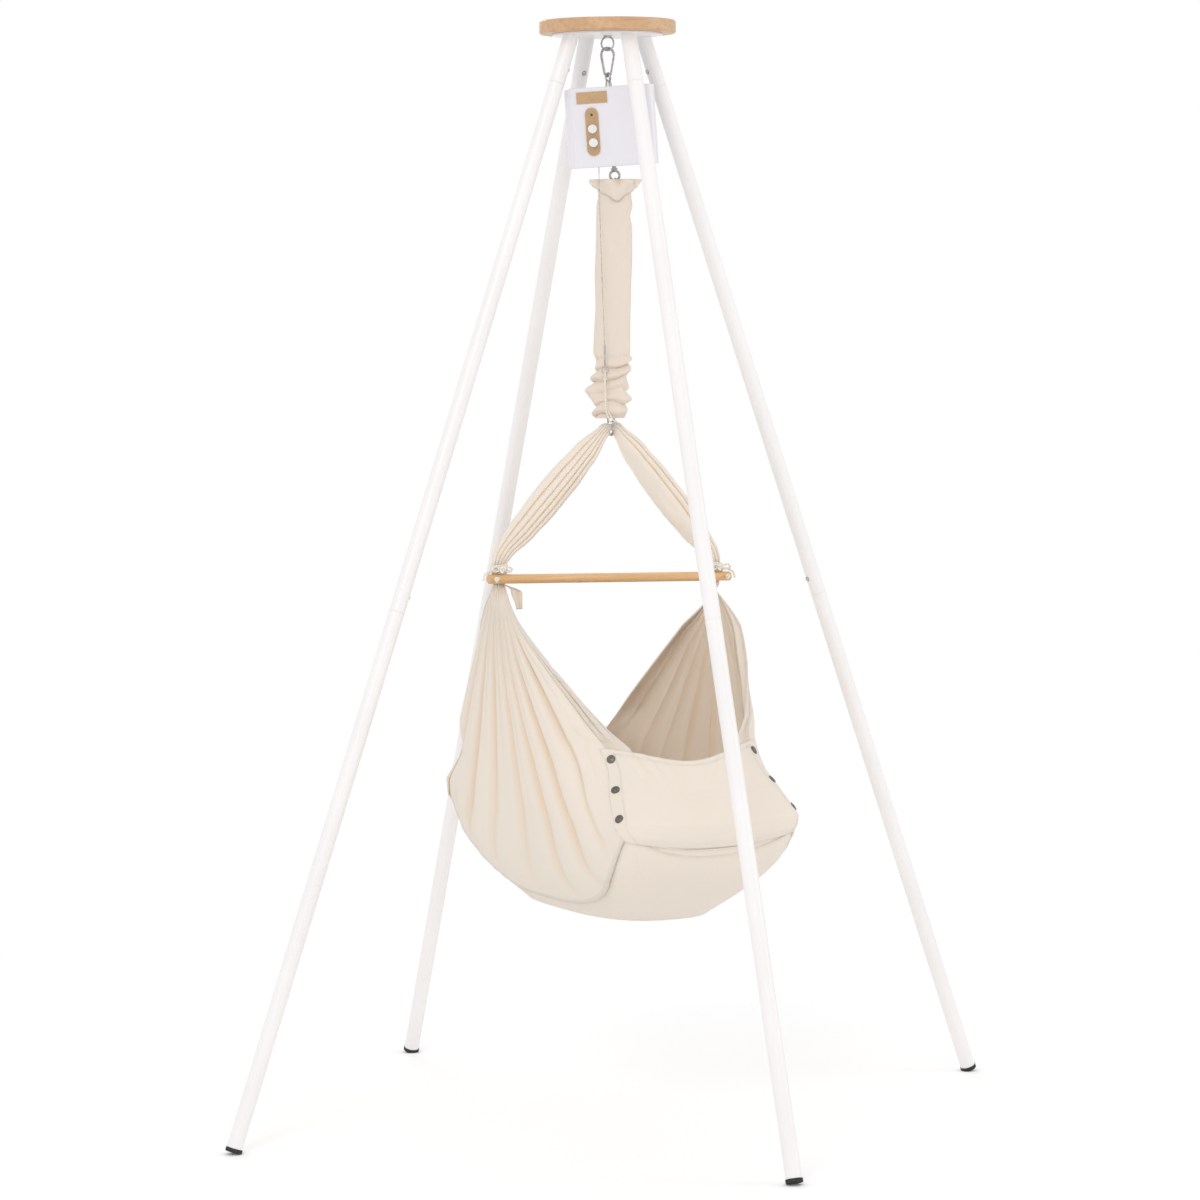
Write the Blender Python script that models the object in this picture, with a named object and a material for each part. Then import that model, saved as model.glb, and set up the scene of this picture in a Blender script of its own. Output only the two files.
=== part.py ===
"""Baby spring cradle: a hammock cradle on a spring, hung under a four-legged stand.

Metres, +Z up. The origin is on the floor under the middle of the stand. X runs along the
spreader bar, -Y is the cradle's foot end, and the four legs stand near the X and Y axes.
"""
import math

import bmesh
import bpy
from mathutils import Matrix, Vector

# Stand
LEG_TOP_Z = 2.000
LEG_TOP_CIRCLE_R = 0.0758
STAND_TWIST = math.radians(3.4)
FEET = {
    "front": (-0.037, -0.741),
    "right": (0.783, 0.013),
    "back": (-0.089, 0.741),
    "left": (-0.783, -0.026),
}
TUBE_R = 0.0145
TUBE_WALL = 0.0014
TUBE_SIDES = 18
NECK_CLEARANCE = 0.0004
NECK_WALL = 0.0013
STUB_LENGTH = 0.096
UPPER_LEG_LENGTH = 1.012
UPPER_NECK_LENGTH = 0.055
LOWER_NECK_LENGTH = 0.065
NECK_TAPER = 0.004
SEAT_GAP = 0.0003

# Spring buttons that lock the tubes
SNAP_R = 0.0043
SNAP_HOLE_R = 0.0048
SNAP_ABOVE_SEAM = 0.031
SNAP_PROUD = 0.0018
SNAP_HEAD_ROUND = 0.0010
SNAP_LEAF = (0.0008, 0.0064, 0.030)

# Foot caps
CAP_R = 0.0155
CAP_THICKNESS = 0.0080
CAP_ROUND = 0.0015
CAP_PLUG_LENGTH = 0.020
CAP_CENTRE_ABOVE_FLOOR = 0.0030

# Top plate and disc
PLATE_R = 0.102
PLATE_THICKNESS = 0.003
PLATE_BELOW_LEG_TOP = 0.0015
DISC_R = 0.126
DISC_THICKNESS = 0.0238
DISC_EDGE_ROUND = 0.0025
DISC_COUNTERBORE_R = 0.0130
DISC_COUNTERBORE_DEPTH = 0.0120

# Eye bolt under the plate
EYE_RING_R = 0.0127
EYE_WIRE_R = 0.0018
EYE_COLLAR_R = 0.0075
EYE_COLLAR_THICKNESS = 0.0020
EYE_SHANK_R = 0.0040
EYE_SHANK_ABOVE_NUT = 0.0015
EYE_PLANE_AZIMUTH = math.radians(-54)
NUT_ACROSS_FLATS = 0.013
NUT_THICKNESS = 0.0065

# Snap hooks (carabiners)
HOOK_WIRE_R = 0.0025
HOOK_TOP_R = 0.0130
HOOK_HEIGHT = 0.0510
TOP_HOOK_BOTTOM_R = 0.0068
APEX_HOOK_BOTTOM_R = 0.0100
GATE_R = 0.0020
GATE_END_GAP = 0.0005

# Swivel eye on top of the motor, and the lean of the motor as it hangs
MOTOR_LEAN = math.radians(3.8)
SWIVEL_RING_R = 0.0080
SWIVEL_WIRE_R = 0.0022
SWIVEL_COLLAR_R = 0.0065
SWIVEL_SHANK_R = 0.0036
SWIVEL_HEAD_R = 0.0075
SWIVEL_HEAD_THICKNESS = 0.0030
SHAFT_CLEARANCE = 0.0005

# Motor unit
BOX_AZIMUTH = math.radians(-27)
BOX_TOP_BELOW_PIVOT = 0.0249
BOX_WIDTH = 0.165
BOX_DEPTH = 0.090
BOX_HEIGHT = 0.146
BOX_CORNER_R = 0.018
BOX_WALL = 0.0025
BOX_EDGE = 0.0025
BOX_SPLIT_Y = 0.014
NAME_PLATE = (0.056, 0.0015, 0.021)
NAME_PLATE_AT = (-0.0326, -0.0185)
PANEL_SIZE = (0.024, 0.0020, 0.088)
PANEL_AT = (-0.0350, -0.0808)
LED_AT = -0.0498
KNOBS_AT = {"knob_power": -0.0757, "knob_strength": -0.1007}
KNOB_R = 0.0082
KNOB_HEIGHT = 0.0125
KNOB_SHAFT_R = 0.0028
KNOB_POINTER = (0.0034, 0.0030, 0.0150)
LED_R = 0.0022
LED_LENGTH = 0.0075
SOCKET_AT = (0.048, -0.120)
SOCKET_R = 0.0055
SOCKET_LENGTH = 0.014
BOARD_SIZE = (0.040, 0.0016, 0.088)
BOARD_BEHIND_FRONT = 0.0125
PINION_TEETH = 12
PINION_PITCH_R = 0.0090
PINION_TIP_R = 0.0101
PINION_ROOT_R = 0.0074
PINION_WIDTH = 0.0050
PINION_SHAFT_R = 0.0025
PINION_BELOW_TOP = 0.050
TOOTH_THICKNESS = 0.0019
PRESSURE_ANGLE = math.radians(20)
RACK_PITCH_Y = 0.0030
RACK_TIP = 0.0010
RACK_ROOT = 0.0015
RACK_WIDTH = 0.0060
RACK_BACK_Y = -0.0030
RACK_ABOVE_PINION = 0.034
RACK_BELOW_PINION = 0.012
GEARBOX_SIZE = (0.030, 0.034, 0.040)
CAN_R = 0.0160
CAN_LENGTH = 0.030
ROD_R = 0.0040
LIFT_EYE_RING_R = 0.0088
LIFT_EYE_COLLAR_R = 0.0065
LIFT_EYE_COLLAR_THICKNESS = 0.0060
LIFT_EYE_BELOW_BOX = 0.0035
CASING_SCREW_R = 0.0030
CASING_SCREW_PLACES = {"casing_screw_upper": (0.058, -0.016), "casing_screw_lower": (-0.058, -0.130)}
CASING_SCREW_LENGTH = 0.016
CASING_POST_R = 0.0050
LIFT_CLEARANCE = 0.0004

# Spring and sleeve
SPRING_WIRE_R = 0.0015
SPRING_HOOK_R = 0.0062
SPRING_COIL_R = 0.0130
SPRING_TURNS = 11
SPRING_POINTS_PER_TURN = 8
SPRING_END_LENGTH = 0.013
SLEEVE_SIDES = 16
SLEEVE_THICKNESS = 0.0016
SLEEVE_HALF_WIDTH = 0.0330
SLEEVE_HALF_DEPTH = 0.0185
APEX_HOOK_TOP_Z = LEG_TOP_Z - 0.6850
SLEEVE_TOP_Z = LEG_TOP_Z - 0.2730
SLEEVE_BUNCH_TOP_Z = APEX_HOOK_TOP_Z + 0.1000
SLEEVE_BOTTOM_Z = APEX_HOOK_TOP_Z - 0.0190
SLEEVE_TUCKS = 5
CABLE_R = 0.0008
FERRULE_R = 0.0018
FERRULE_TOP_Z = APEX_HOOK_TOP_Z + 0.1176
FERRULE_LENGTH = 0.0415
KEY_RING_R = 0.0060
KEY_RING_WIRE_R = 0.0009
KEY_RING_FRONT = 0.0310
RUFFLE_LENGTH = 0.020
RUFFLE_FRILLS = 6

# Spreader bar and what hangs on it
BAR_R = 0.00875
BAR_LENGTH = 0.504
BAR_CENTRE = (-0.003, 0.0, APEX_HOOK_TOP_Z - 0.3152)
BAR_TILT = math.radians(1.5)
BAR_HOLE_FROM_END = 0.0115
TIE_FROM_BAR_END = 0.0270
TIE_HALF_WIDTH = 0.0120
CORD_R = 0.0018
CORD_CLEARANCE = 0.0003
KNOT_FACTOR = 2.4
CABLE_CORD_R = 0.0014
STRAP_HALF_WIDTH = 0.034
STRAP_THICKNESS = 0.0060
STRAP_APEX_HALF_HEIGHT = 0.0055
STRAP_APEX_THICKNESS = 0.0100
STRAP_FOLDS = 4
STRAP_FOLD_DEPTH = 0.0060

# Cradle
CLOTH = 0.0030
CLOTH_GAP = 0.0015
FAN_STAND_OFF = 0.0030
PANEL_GAP = {-1: 0.0034, 1: 0.0018}
TUB_RIM_Z = APEX_HOOK_TOP_Z - 0.7500
TUB_BOTTOM_Z = TUB_RIM_Z - 0.1730
TUB_HALF_WIDTH = 0.180
TUB_NARROWING = 0.34
TUB_SHORTENING = 0.40
END_REACH = {
    -1: [(TUB_RIM_Z + 0.020, 0.398), (TUB_RIM_Z + 0.145, 0.285)],
    1: [(TUB_RIM_Z + 0.035, 0.388), (TUB_RIM_Z + 0.122, 0.345)],
}
GATHER_REACH = 0.060
RIM_SQUARENESS = {-1: 12.0, 1: 9.0}
TOP_SQUARENESS = {-1: 3.6, 1: 4.2}
FLOOR_SQUARENESS = 2.8
FAN_FRONT_EDGE = [(-0.276, TUB_RIM_Z + 0.145), (-0.374, TUB_RIM_Z + 0.009)]
FAN_BACK_EDGE = [(0.322, TUB_RIM_Z + 0.115), (0.358, TUB_RIM_Z + 0.035)]
FAN_HEM_LOW_Z = TUB_BOTTOM_Z + 0.022
FAN_HEM_POWER = 3.4
FAN_PLEATS = 8
FAN_PLEAT_DEPTH = 0.0080
FAN_COLUMNS = 40
FAN_ROWS = (0.0, 0.12, 0.24, 0.40, 0.60, 0.73, 0.82, 0.89, 0.95, 1.0)
FAN_GATHER = (0.0062, 0.0150)
FAN_SEAT_GAP = 0.0007
FAN_GATHER_BELOW_BAR = 0.0150
COVERED_WIDTH = 0.050
PANEL_LOW_Z = TUB_RIM_Z - 0.008
APRON_TOP_Z = TUB_RIM_Z + 0.147
APRON_DIP = 0.026
HEAD_TOP_Z = TUB_RIM_Z + 0.115
HEAD_DIP = 0.020
PANEL_BORDER = {
    -1: [(0.374, TUB_RIM_Z - 0.012), (0.332, TUB_RIM_Z + 0.033), (0.261, TUB_RIM_Z + 0.147)],
    1: [(0.362, TUB_RIM_Z - 0.008), (0.340, TUB_RIM_Z + 0.035), (0.300, TUB_RIM_Z + 0.115)],
}
STUD_R = 0.0082
STUD_THICKNESS = 0.0030
STUD_HEIGHTS = (0.885, 0.56, 0.265)
STUD_FROM_EDGE = 0.0135
MATTRESS_HALF = (0.122, 0.252)
MATTRESS_THICKNESS = 0.040


def remove_scene_objects():
    for item in list(bpy.data.objects):
        bpy.data.objects.remove(item, do_unlink=True)


def material(name, colour, roughness, metallic=0.0):
    made = bpy.data.materials.get(name)
    if made:
        return made
    made = bpy.data.materials.new(name)
    made.use_nodes = True
    shader = made.node_tree.nodes["Principled BSDF"]
    shader.inputs["Base Color"].default_value = (*colour, 1.0)
    shader.inputs["Roughness"].default_value = roughness
    shader.inputs["Metallic"].default_value = metallic
    return made


def white_paint():
    return material("white_paint", (0.86, 0.84, 0.83), 0.35)


def beech(name="beech"):
    return material(name, (0.66, 0.45, 0.26), 0.45)


def steel():
    return material("zinc_plated_steel", (0.55, 0.55, 0.54), 0.30, 1.0)


def black_rubber():
    return material("black_rubber", (0.02, 0.02, 0.02), 0.7)


def white_plastic():
    return material("white_plastic", (0.88, 0.86, 0.90), 0.30)


def black_plastic():
    return material("black_plastic", (0.03, 0.03, 0.03), 0.45)


def cotton():
    return material("cotton", (0.83, 0.70, 0.55), 0.9)


def cream_cord():
    return material("cream_cord", (0.80, 0.70, 0.50), 0.9)


def add_object(name, mesh, finish, parent=None, place=None):
    """Links a mesh or curve as a named object, with its place given in its parent's frame."""
    made = bpy.data.objects.new(name, mesh)
    bpy.context.scene.collection.objects.link(made)
    mesh.materials.append(finish)
    if parent:
        made.parent = parent
    if place is not None:
        made.matrix_basis = place
    return made


def add_empty(name, place, parent=None):
    made = bpy.data.objects.new(name, None)
    bpy.context.scene.collection.objects.link(made)
    if parent:
        made.parent = parent
    made.matrix_basis = place
    return made


def mesh_from(name, vertices, faces):
    """A closed mesh with its faces turned outwards."""
    work = bmesh.new()
    made = [work.verts.new(v) for v in vertices]
    for face in faces:
        work.faces.new([made[i] for i in face])
    turn_outwards(work)
    mesh = bpy.data.meshes.new(name)
    work.to_mesh(mesh)
    work.free()
    return mesh


def turn_outwards(work):
    bmesh.ops.recalc_face_normals(work, faces=work.faces)
    if work.calc_volume(signed=True) < 0:
        bmesh.ops.reverse_faces(work, faces=work.faces)


def smooth(mesh, degrees=35):
    mesh.shade_smooth()
    mesh.set_sharp_from_angle(angle=math.radians(degrees))
    return mesh


def revolve(name, profile, sides, ring=False):
    """Turns (radius, height) points about Z. A ring's profile is closed and stays off the axis."""
    vertices = []
    rows = []
    for radius, height in profile:
        if radius == 0:
            rows.append([len(vertices)] * sides)
            vertices.append((0, 0, height))
            continue
        rows.append(list(range(len(vertices), len(vertices) + sides)))
        for i in range(sides):
            a = 2 * math.pi * i / sides
            vertices.append((radius * math.cos(a), radius * math.sin(a), height))
    pairs = list(zip(rows, rows[1:]))
    if ring:
        pairs.append((rows[-1], rows[0]))
    faces = []
    for low, high in pairs:
        for i in range(sides):
            j = (i + 1) % sides
            corners = [low[i], low[j], high[j], high[i]]
            faces.append(list(dict.fromkeys(corners)))
    if not ring:
        for row in (rows[0], rows[-1]):
            if len(set(row)) > 1:
                faces.append(row)
    return smooth(mesh_from(name, vertices, faces))


def box_mesh(name, size, centre=(0, 0, 0)):
    half = Vector(size) / 2
    middle = Vector(centre)
    corners = [
        middle + Vector((sx * half.x, sy * half.y, sz * half.z))
        for sx in (-1, 1) for sy in (-1, 1) for sz in (-1, 1)
    ]
    faces = [(0, 1, 3, 2), (4, 6, 7, 5), (0, 4, 5, 1), (2, 3, 7, 6), (0, 2, 6, 4), (1, 5, 7, 3)]
    return mesh_from(name, corners, faces)


def loft(name, rings):
    """Joins closed rings of points, and closes the first and last with a face."""
    count = len(rings[0])
    vertices = [p for ring in rings for p in ring]
    faces = []
    for k in range(len(rings) - 1):
        for i in range(count):
            j = (i + 1) % count
            faces.append((k * count + i, k * count + j, (k + 1) * count + j, (k + 1) * count + i))
    faces.append(list(range(count)))
    faces.append(list(range((len(rings) - 1) * count, len(rings) * count)))
    return mesh_from(name, vertices, faces)


def sheet(name, grid, offsets, around=False):
    """A cloth of even thickness: each point of the grid goes both ways along its offset."""
    rows, columns = len(grid), len(grid[0])
    vertices = []
    for side in (1, -1):
        for r in range(rows):
            for c in range(columns):
                vertices.append(grid[r][c] + offsets[r][c] * side)
    back = rows * columns
    last = columns if around else columns - 1
    faces = []
    for r in range(rows - 1):
        for c in range(last):
            d = (c + 1) % columns
            a, b, e, f = r * columns + c, r * columns + d, (r + 1) * columns + d, (r + 1) * columns + c
            faces.append((a, b, e, f))
            faces.append((back + f, back + e, back + b, back + a))
    for r in (0, rows - 1):
        for c in range(last):
            d = (c + 1) % columns
            faces.append((r * columns + c, r * columns + d, back + r * columns + d, back + r * columns + c))
    if not around:
        for c in (0, columns - 1):
            for r in range(rows - 1):
                a, b = r * columns + c, (r + 1) * columns + c
                faces.append((a, b, back + b, back + a))
    return smooth(mesh_from(name, vertices, faces), 60)


def wire(name, points, radius, finish, parent=None, resolution=1, factors=None, closed=False):
    """A round wire or cord through the points, as one unbroken tube, thicker where a factor says so."""
    curve = bpy.data.curves.new(name, "CURVE")
    curve.dimensions = "3D"
    curve.bevel_depth = radius
    curve.bevel_resolution = resolution
    curve.use_fill_caps = True
    line = curve.splines.new("POLY")
    line.points.add(len(points) - 1)
    for spot, p, factor in zip(line.points, points, factors or [1.0] * len(points)):
        spot.co = (*p, 1.0)
        spot.radius = factor
    line.use_cyclic_u = closed
    return add_object(name, curve, finish, parent)


def smooth_route(points, per_span):
    """Points along a smooth curve through the given points."""
    ends = [points[0] * 2 - points[1], *points, points[-1] * 2 - points[-2]]
    out = []
    for i in range(1, len(ends) - 2):
        p0, p1, p2, p3 = ends[i - 1:i + 3]
        for k in range(per_span):
            t = k / per_span
            out.append(0.5 * (2 * p1 + (p2 - p0) * t + (2 * p0 - 5 * p1 + 4 * p2 - p3) * t * t
                              + (3 * p1 - p0 - 3 * p2 + p3) * t ** 3))
    out.append(points[-1])
    return out


def cutter(name, mesh, place=None, parent=None):
    made = add_object(name, mesh, black_plastic(), parent, place)
    made.hide_render = True
    made.display_type = "WIRE"
    return made


def boolean(target, tool, operation="DIFFERENCE"):
    step = target.modifiers.new(operation.title() + "_" + tool.name, "BOOLEAN")
    step.operation = operation
    step.object = tool
    step.solver = "EXACT"
    return step


def turned(axis, angle):
    return Matrix.Rotation(angle, 4, axis)


def at(x, y, z):
    return Matrix.Translation((x, y, z))


def leg_frame(name):
    """The frame of one leg: Z runs down the tube and X points at the stand's middle."""
    order = ["front", "right", "back", "left"]
    around = STAND_TWIST - math.pi / 2 + order.index(name) * math.pi / 2
    top = Vector((LEG_TOP_CIRCLE_R * math.cos(around), LEG_TOP_CIRCLE_R * math.sin(around), LEG_TOP_Z))
    foot = Vector((*FEET[name], 0.0))
    down = (foot - top).normalized()
    inward = -Vector((math.cos(around), math.sin(around), 0))
    inward = (inward - down * inward.dot(down)).normalized()
    sideways = down.cross(inward)
    axes = Matrix((inward, sideways, down)).transposed().to_4x4()
    return Matrix.Translation(top) @ axes, (foot - top).length


def cap_bottom(frame, length):
    """How far down the leg the foot cap's lower face lies."""
    slope = -(frame.to_3x3() @ Vector((0, 0, 1))).z
    return length - CAP_CENTRE_ABOVE_FLOOR / slope


def neck_r():
    return TUBE_R - TUBE_WALL - NECK_CLEARANCE


def leg_tube(name, start, end, neck_length, finish):
    """A tube with a drawn-in neck on its upper end, which goes into the tube above."""
    inner = TUBE_R - TUBE_WALL
    neck_inner = neck_r() - NECK_WALL
    profile = [
        (neck_r(), start - neck_length), (neck_r(), start), (TUBE_R, start), (TUBE_R, end),
        (inner, end), (inner, start + NECK_TAPER), (neck_inner, start), (neck_inner, start - neck_length),
    ]
    return revolve(name, profile, TUBE_SIDES, ring=True)


def snap_hole(name, distance, frame):
    mesh = revolve(name, [(SNAP_HOLE_R, 0.006), (SNAP_HOLE_R, 0.020)], 12)
    return cutter(name, mesh, at(0, 0, distance) @ turned("Y", math.pi / 2), frame)


def snap_button(name, distance, frame):
    """A lock button on its leaf. Its axis is the frame's X, and it travels towards the tube's axis."""
    leaf_x = neck_r() - NECK_WALL - 0.0022
    tip = TUBE_R + SNAP_PROUD
    profile = [(0, leaf_x), (SNAP_R, leaf_x), (SNAP_R, tip - SNAP_HEAD_ROUND),
               (SNAP_R - SNAP_HEAD_ROUND, tip), (0, tip)]
    mesh = revolve(name, profile, 9)
    button = add_object(name, mesh, steel(), frame, at(0, 0, distance) @ turned("Y", math.pi / 2))
    thick, wide, long = SNAP_LEAF
    leaf = cutter(name + "_leaf", box_mesh(name + "_leaf", (long, wide, thick), (0, 0, leaf_x)))
    leaf.parent = button
    boolean(button, leaf, "UNION")
    return button


def build_legs():
    frames = {}
    for side in FEET:
        place, length = leg_frame(side)
        frame = add_empty("leg_" + side, place)
        frames[side] = frame
        upper_start = STUB_LENGTH + SEAT_GAP
        seam = STUB_LENGTH + UPPER_LEG_LENGTH
        tube_end = cap_bottom(place, length) - CAP_THICKNESS
        upper_snap = STUB_LENGTH - SNAP_ABOVE_SEAM
        lower_snap = seam - SNAP_ABOVE_SEAM
        mesh = leg_tube("upper_leg_" + side, upper_start, seam, UPPER_NECK_LENGTH, None)
        upper = add_object("upper_leg_" + side, mesh, white_paint(), frame)
        mesh = leg_tube("lower_leg_" + side, seam + SEAT_GAP, tube_end, LOWER_NECK_LENGTH, None)
        lower = add_object("lower_leg_" + side, mesh, white_paint(), frame)
        high_hole = snap_hole("snap_hole_upper_" + side, upper_snap, frame)
        low_hole = snap_hole("snap_hole_lower_" + side, lower_snap, frame)
        boolean(upper, high_hole)
        boolean(upper, low_hole)
        boolean(lower, low_hole)
        snap_button("snap_upper_" + side, upper_snap, frame)
        snap_button("snap_lower_" + side, lower_snap, frame)
        build_foot_cap(side, frame, tube_end)
    return frames


def floor_cutter():
    found = bpy.data.objects.get("floor_cutter")
    if found:
        return found
    return cutter("floor_cutter", box_mesh("floor_cutter", (3.0, 3.0, 0.2), (0, 0, -0.1)))


def build_foot_cap(side, frame, tube_end):
    plug_r = TUBE_R - TUBE_WALL - NECK_CLEARANCE
    bottom = tube_end + CAP_THICKNESS
    profile = [
        (0, tube_end - CAP_PLUG_LENGTH), (plug_r, tube_end - CAP_PLUG_LENGTH),
        (plug_r, tube_end + SEAT_GAP), (CAP_R, tube_end + SEAT_GAP),
        (CAP_R, bottom - CAP_ROUND), (CAP_R - CAP_ROUND, bottom), (0, bottom),
    ]
    mesh = revolve("foot_cap_" + side, profile, TUBE_SIDES)
    cap = add_object("foot_cap_" + side, mesh, black_rubber(), frame)
    boolean(cap, floor_cutter())


def plate_bottom_z():
    return LEG_TOP_Z - PLATE_BELOW_LEG_TOP


def plate_top_z():
    return plate_bottom_z() + PLATE_THICKNESS


def build_top_plate(frames):
    low, high = plate_bottom_z(), plate_top_z()
    blank = revolve("top_plate", [(PLATE_R, low), (PLATE_R, high)], 32)
    plate = add_object("top_plate", blank, white_paint())
    trim = cutter("stub_trim", box_mesh("stub_trim", (0.4, 0.4, 0.1), (0, 0, (low + high) / 2 + 0.05)))
    for side, frame in frames.items():
        inner = TUBE_R - TUBE_WALL
        profile = [(TUBE_R, -0.010), (TUBE_R, STUB_LENGTH), (inner, STUB_LENGTH), (inner, -0.010)]
        stub = cutter("stub_" + side, revolve("stub_" + side, profile, TUBE_SIDES, ring=True), None, frame)
        boolean(stub, trim)
        boolean(stub, bpy.data.objects["snap_hole_upper_" + side])
        boolean(plate, stub, "UNION")
    hole = cutter("eye_hole", revolve("eye_hole", [(EYE_SHANK_R + SHAFT_CLEARANCE, low - 0.01),
                                                    (EYE_SHANK_R + SHAFT_CLEARANCE, high + 0.01)], 20))
    boolean(plate, hole)


def disc_bottom_z():
    return plate_top_z() + SEAT_GAP


def counterbore_z():
    return disc_bottom_z() + DISC_THICKNESS - DISC_COUNTERBORE_DEPTH


def build_top_disc():
    """The wooden disc, bored for the eye bolt and counterbored from above for its nut."""
    low, high = disc_bottom_z(), disc_bottom_z() + DISC_THICKNESS
    r, e = DISC_R, DISC_EDGE_ROUND
    bore = EYE_SHANK_R + SHAFT_CLEARANCE
    profile = [
        (bore, counterbore_z()), (bore, low), (r - e, low), (r, low + e), (r, high - e), (r - e, high),
        (DISC_COUNTERBORE_R, high), (DISC_COUNTERBORE_R, counterbore_z()),
    ]
    add_object("top_disc", revolve("top_disc", profile, 40, ring=True), beech())


def torus_mesh(name, ring_r, wire_r, plane_azimuth, centre, around=20, sides=6):
    profile = [(ring_r + wire_r * math.cos(2 * math.pi * k / sides),
                wire_r * math.sin(2 * math.pi * k / sides)) for k in range(sides)]
    mesh = revolve(name, profile, around, ring=True)
    mesh.transform(at(*centre) @ turned("Z", plane_azimuth) @ turned("X", math.pi / 2))
    return mesh


def eye_ring_centre_z():
    collar_low = plate_bottom_z() - SEAT_GAP - EYE_COLLAR_THICKNESS
    return collar_low + EYE_WIRE_R * 0.6 - EYE_RING_R - EYE_WIRE_R * 0.2


def build_eye_bolt():
    """The eye bolt that clamps the plate and the disc together, and its nut in the counterbore."""
    collar_high = plate_bottom_z() - SEAT_GAP
    collar_low = collar_high - EYE_COLLAR_THICKNESS
    nut_low = counterbore_z() + SEAT_GAP
    shank_top = nut_low + NUT_THICKNESS + EYE_SHANK_ABOVE_NUT
    profile = [(0, collar_low), (EYE_COLLAR_R, collar_low), (EYE_COLLAR_R, collar_high),
               (EYE_SHANK_R, collar_high), (EYE_SHANK_R, shank_top), (0, shank_top)]
    bolt = add_object("eye_bolt", revolve("eye_bolt", profile, 16), steel())
    ring = torus_mesh("eye_bolt_ring", EYE_RING_R, EYE_WIRE_R, EYE_PLANE_AZIMUTH, (0, 0, eye_ring_centre_z()))
    boolean(bolt, cutter("eye_bolt_ring", ring), "UNION")
    corner_r = NUT_ACROSS_FLATS / math.sqrt(3)
    bore = EYE_SHANK_R + SEAT_GAP
    nut = [(corner_r, nut_low), (corner_r, nut_low + NUT_THICKNESS)]
    body = add_object("eye_nut", revolve("eye_nut", nut, 6), steel())
    drill = revolve("eye_nut_bore", [(bore, nut_low - 0.01), (bore, nut_low + NUT_THICKNESS + 0.01)], 16)
    boolean(body, cutter("eye_nut_bore", drill))


def hook_outline(bottom_r):
    """Centres and tangent angle of a pear-shaped snap hook that hangs down from its top wire."""
    top = Vector((0, 0, -HOOK_TOP_R))
    bottom = Vector((0, 0, -(HOOK_HEIGHT - bottom_r)))
    reach = (top - bottom).length
    tangent = -math.asin((HOOK_TOP_R - bottom_r) / reach)
    return top, bottom, tangent


def on_arc(centre, radius, angle):
    return centre + Vector((math.cos(angle), 0, math.sin(angle))) * radius


def build_snap_hook(name, frame, bottom_r):
    """A snap hook and its gate. The gate turns about its lower end and shuts on the nose."""
    top, bottom, tangent = hook_outline(bottom_r)
    points = [on_arc(top, HOOK_TOP_R, tangent + (math.pi - 2 * tangent) * k / 12) for k in range(13)]
    points += [on_arc(bottom, bottom_r, math.pi - tangent + (math.pi + 2 * tangent) * k / 8)
               for k in range(9)]
    wire(name, points, HOOK_WIRE_R, steel(), frame, resolution=2)
    nose = on_arc(top, HOOK_TOP_R, tangent)
    heel = on_arc(bottom, bottom_r, tangent)
    along = (nose - heel).normalized()
    pivot = heel + along * (GATE_R + GATE_END_GAP)
    length = (nose - pivot).length - GATE_R - GATE_END_GAP
    steps = 3
    profile = [(GATE_R * math.sin(k * math.pi / 2 / steps), -GATE_R * math.cos(k * math.pi / 2 / steps))
               for k in range(steps + 1)]
    profile += [(GATE_R * math.cos(k * math.pi / 2 / steps), length + GATE_R * math.sin(k * math.pi / 2 / steps))
                for k in range(steps)]
    profile[0] = (0, -GATE_R)
    profile.append((0, length + GATE_R))
    tilt = math.atan2(along.x, along.z)
    gate = revolve(name + "_gate", profile, 8)
    return add_object(name + "_gate", gate, steel(), frame, at(*pivot) @ turned("Y", tilt))


def top_hook_z():
    """Height of the top hook's upper wire, which rests in the eye bolt's ring."""
    ring_low = eye_ring_centre_z() - EYE_RING_R
    return ring_low + EYE_WIRE_R + SEAT_GAP + HOOK_WIRE_R


def swivel_pivot_z():
    """Height of the swivel eye's upper wire, which rests in the top hook's lower bow."""
    return top_hook_z() - HOOK_HEIGHT + HOOK_WIRE_R + SEAT_GAP + SWIVEL_WIRE_R


def motor_place():
    lean = turned("Y", -MOTOR_LEAN)
    return at(0, 0, swivel_pivot_z()) @ lean @ turned("Z", BOX_AZIMUTH)


def box_top():
    return -BOX_TOP_BELOW_PIVOT


def box_bottom():
    return box_top() - BOX_HEIGHT


def build_swivel_eye(frame):
    """Built in the motor's frame, with its ring turned square to the top hook."""
    ring_z = -SWIVEL_RING_R
    collar_high = ring_z - SWIVEL_RING_R + SWIVEL_WIRE_R * 0.3
    collar_low = box_top() + SEAT_GAP
    inside = box_top() - BOX_WALL - SEAT_GAP
    profile = [
        (0, inside - SWIVEL_HEAD_THICKNESS), (SWIVEL_HEAD_R, inside - SWIVEL_HEAD_THICKNESS),
        (SWIVEL_HEAD_R, inside), (SWIVEL_SHANK_R, inside), (SWIVEL_SHANK_R, collar_low),
        (SWIVEL_COLLAR_R, collar_low), (SWIVEL_COLLAR_R * 0.75, collar_high), (0, collar_high),
    ]
    eye = add_object("swivel_eye", revolve("swivel_eye", profile, 16), steel(), frame)
    ring = torus_mesh("swivel_ring", SWIVEL_RING_R, SWIVEL_WIRE_R, math.pi / 2 - BOX_AZIMUTH, (0, 0, ring_z))
    boolean(eye, cutter("swivel_ring", ring, None, frame), "UNION")


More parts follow.
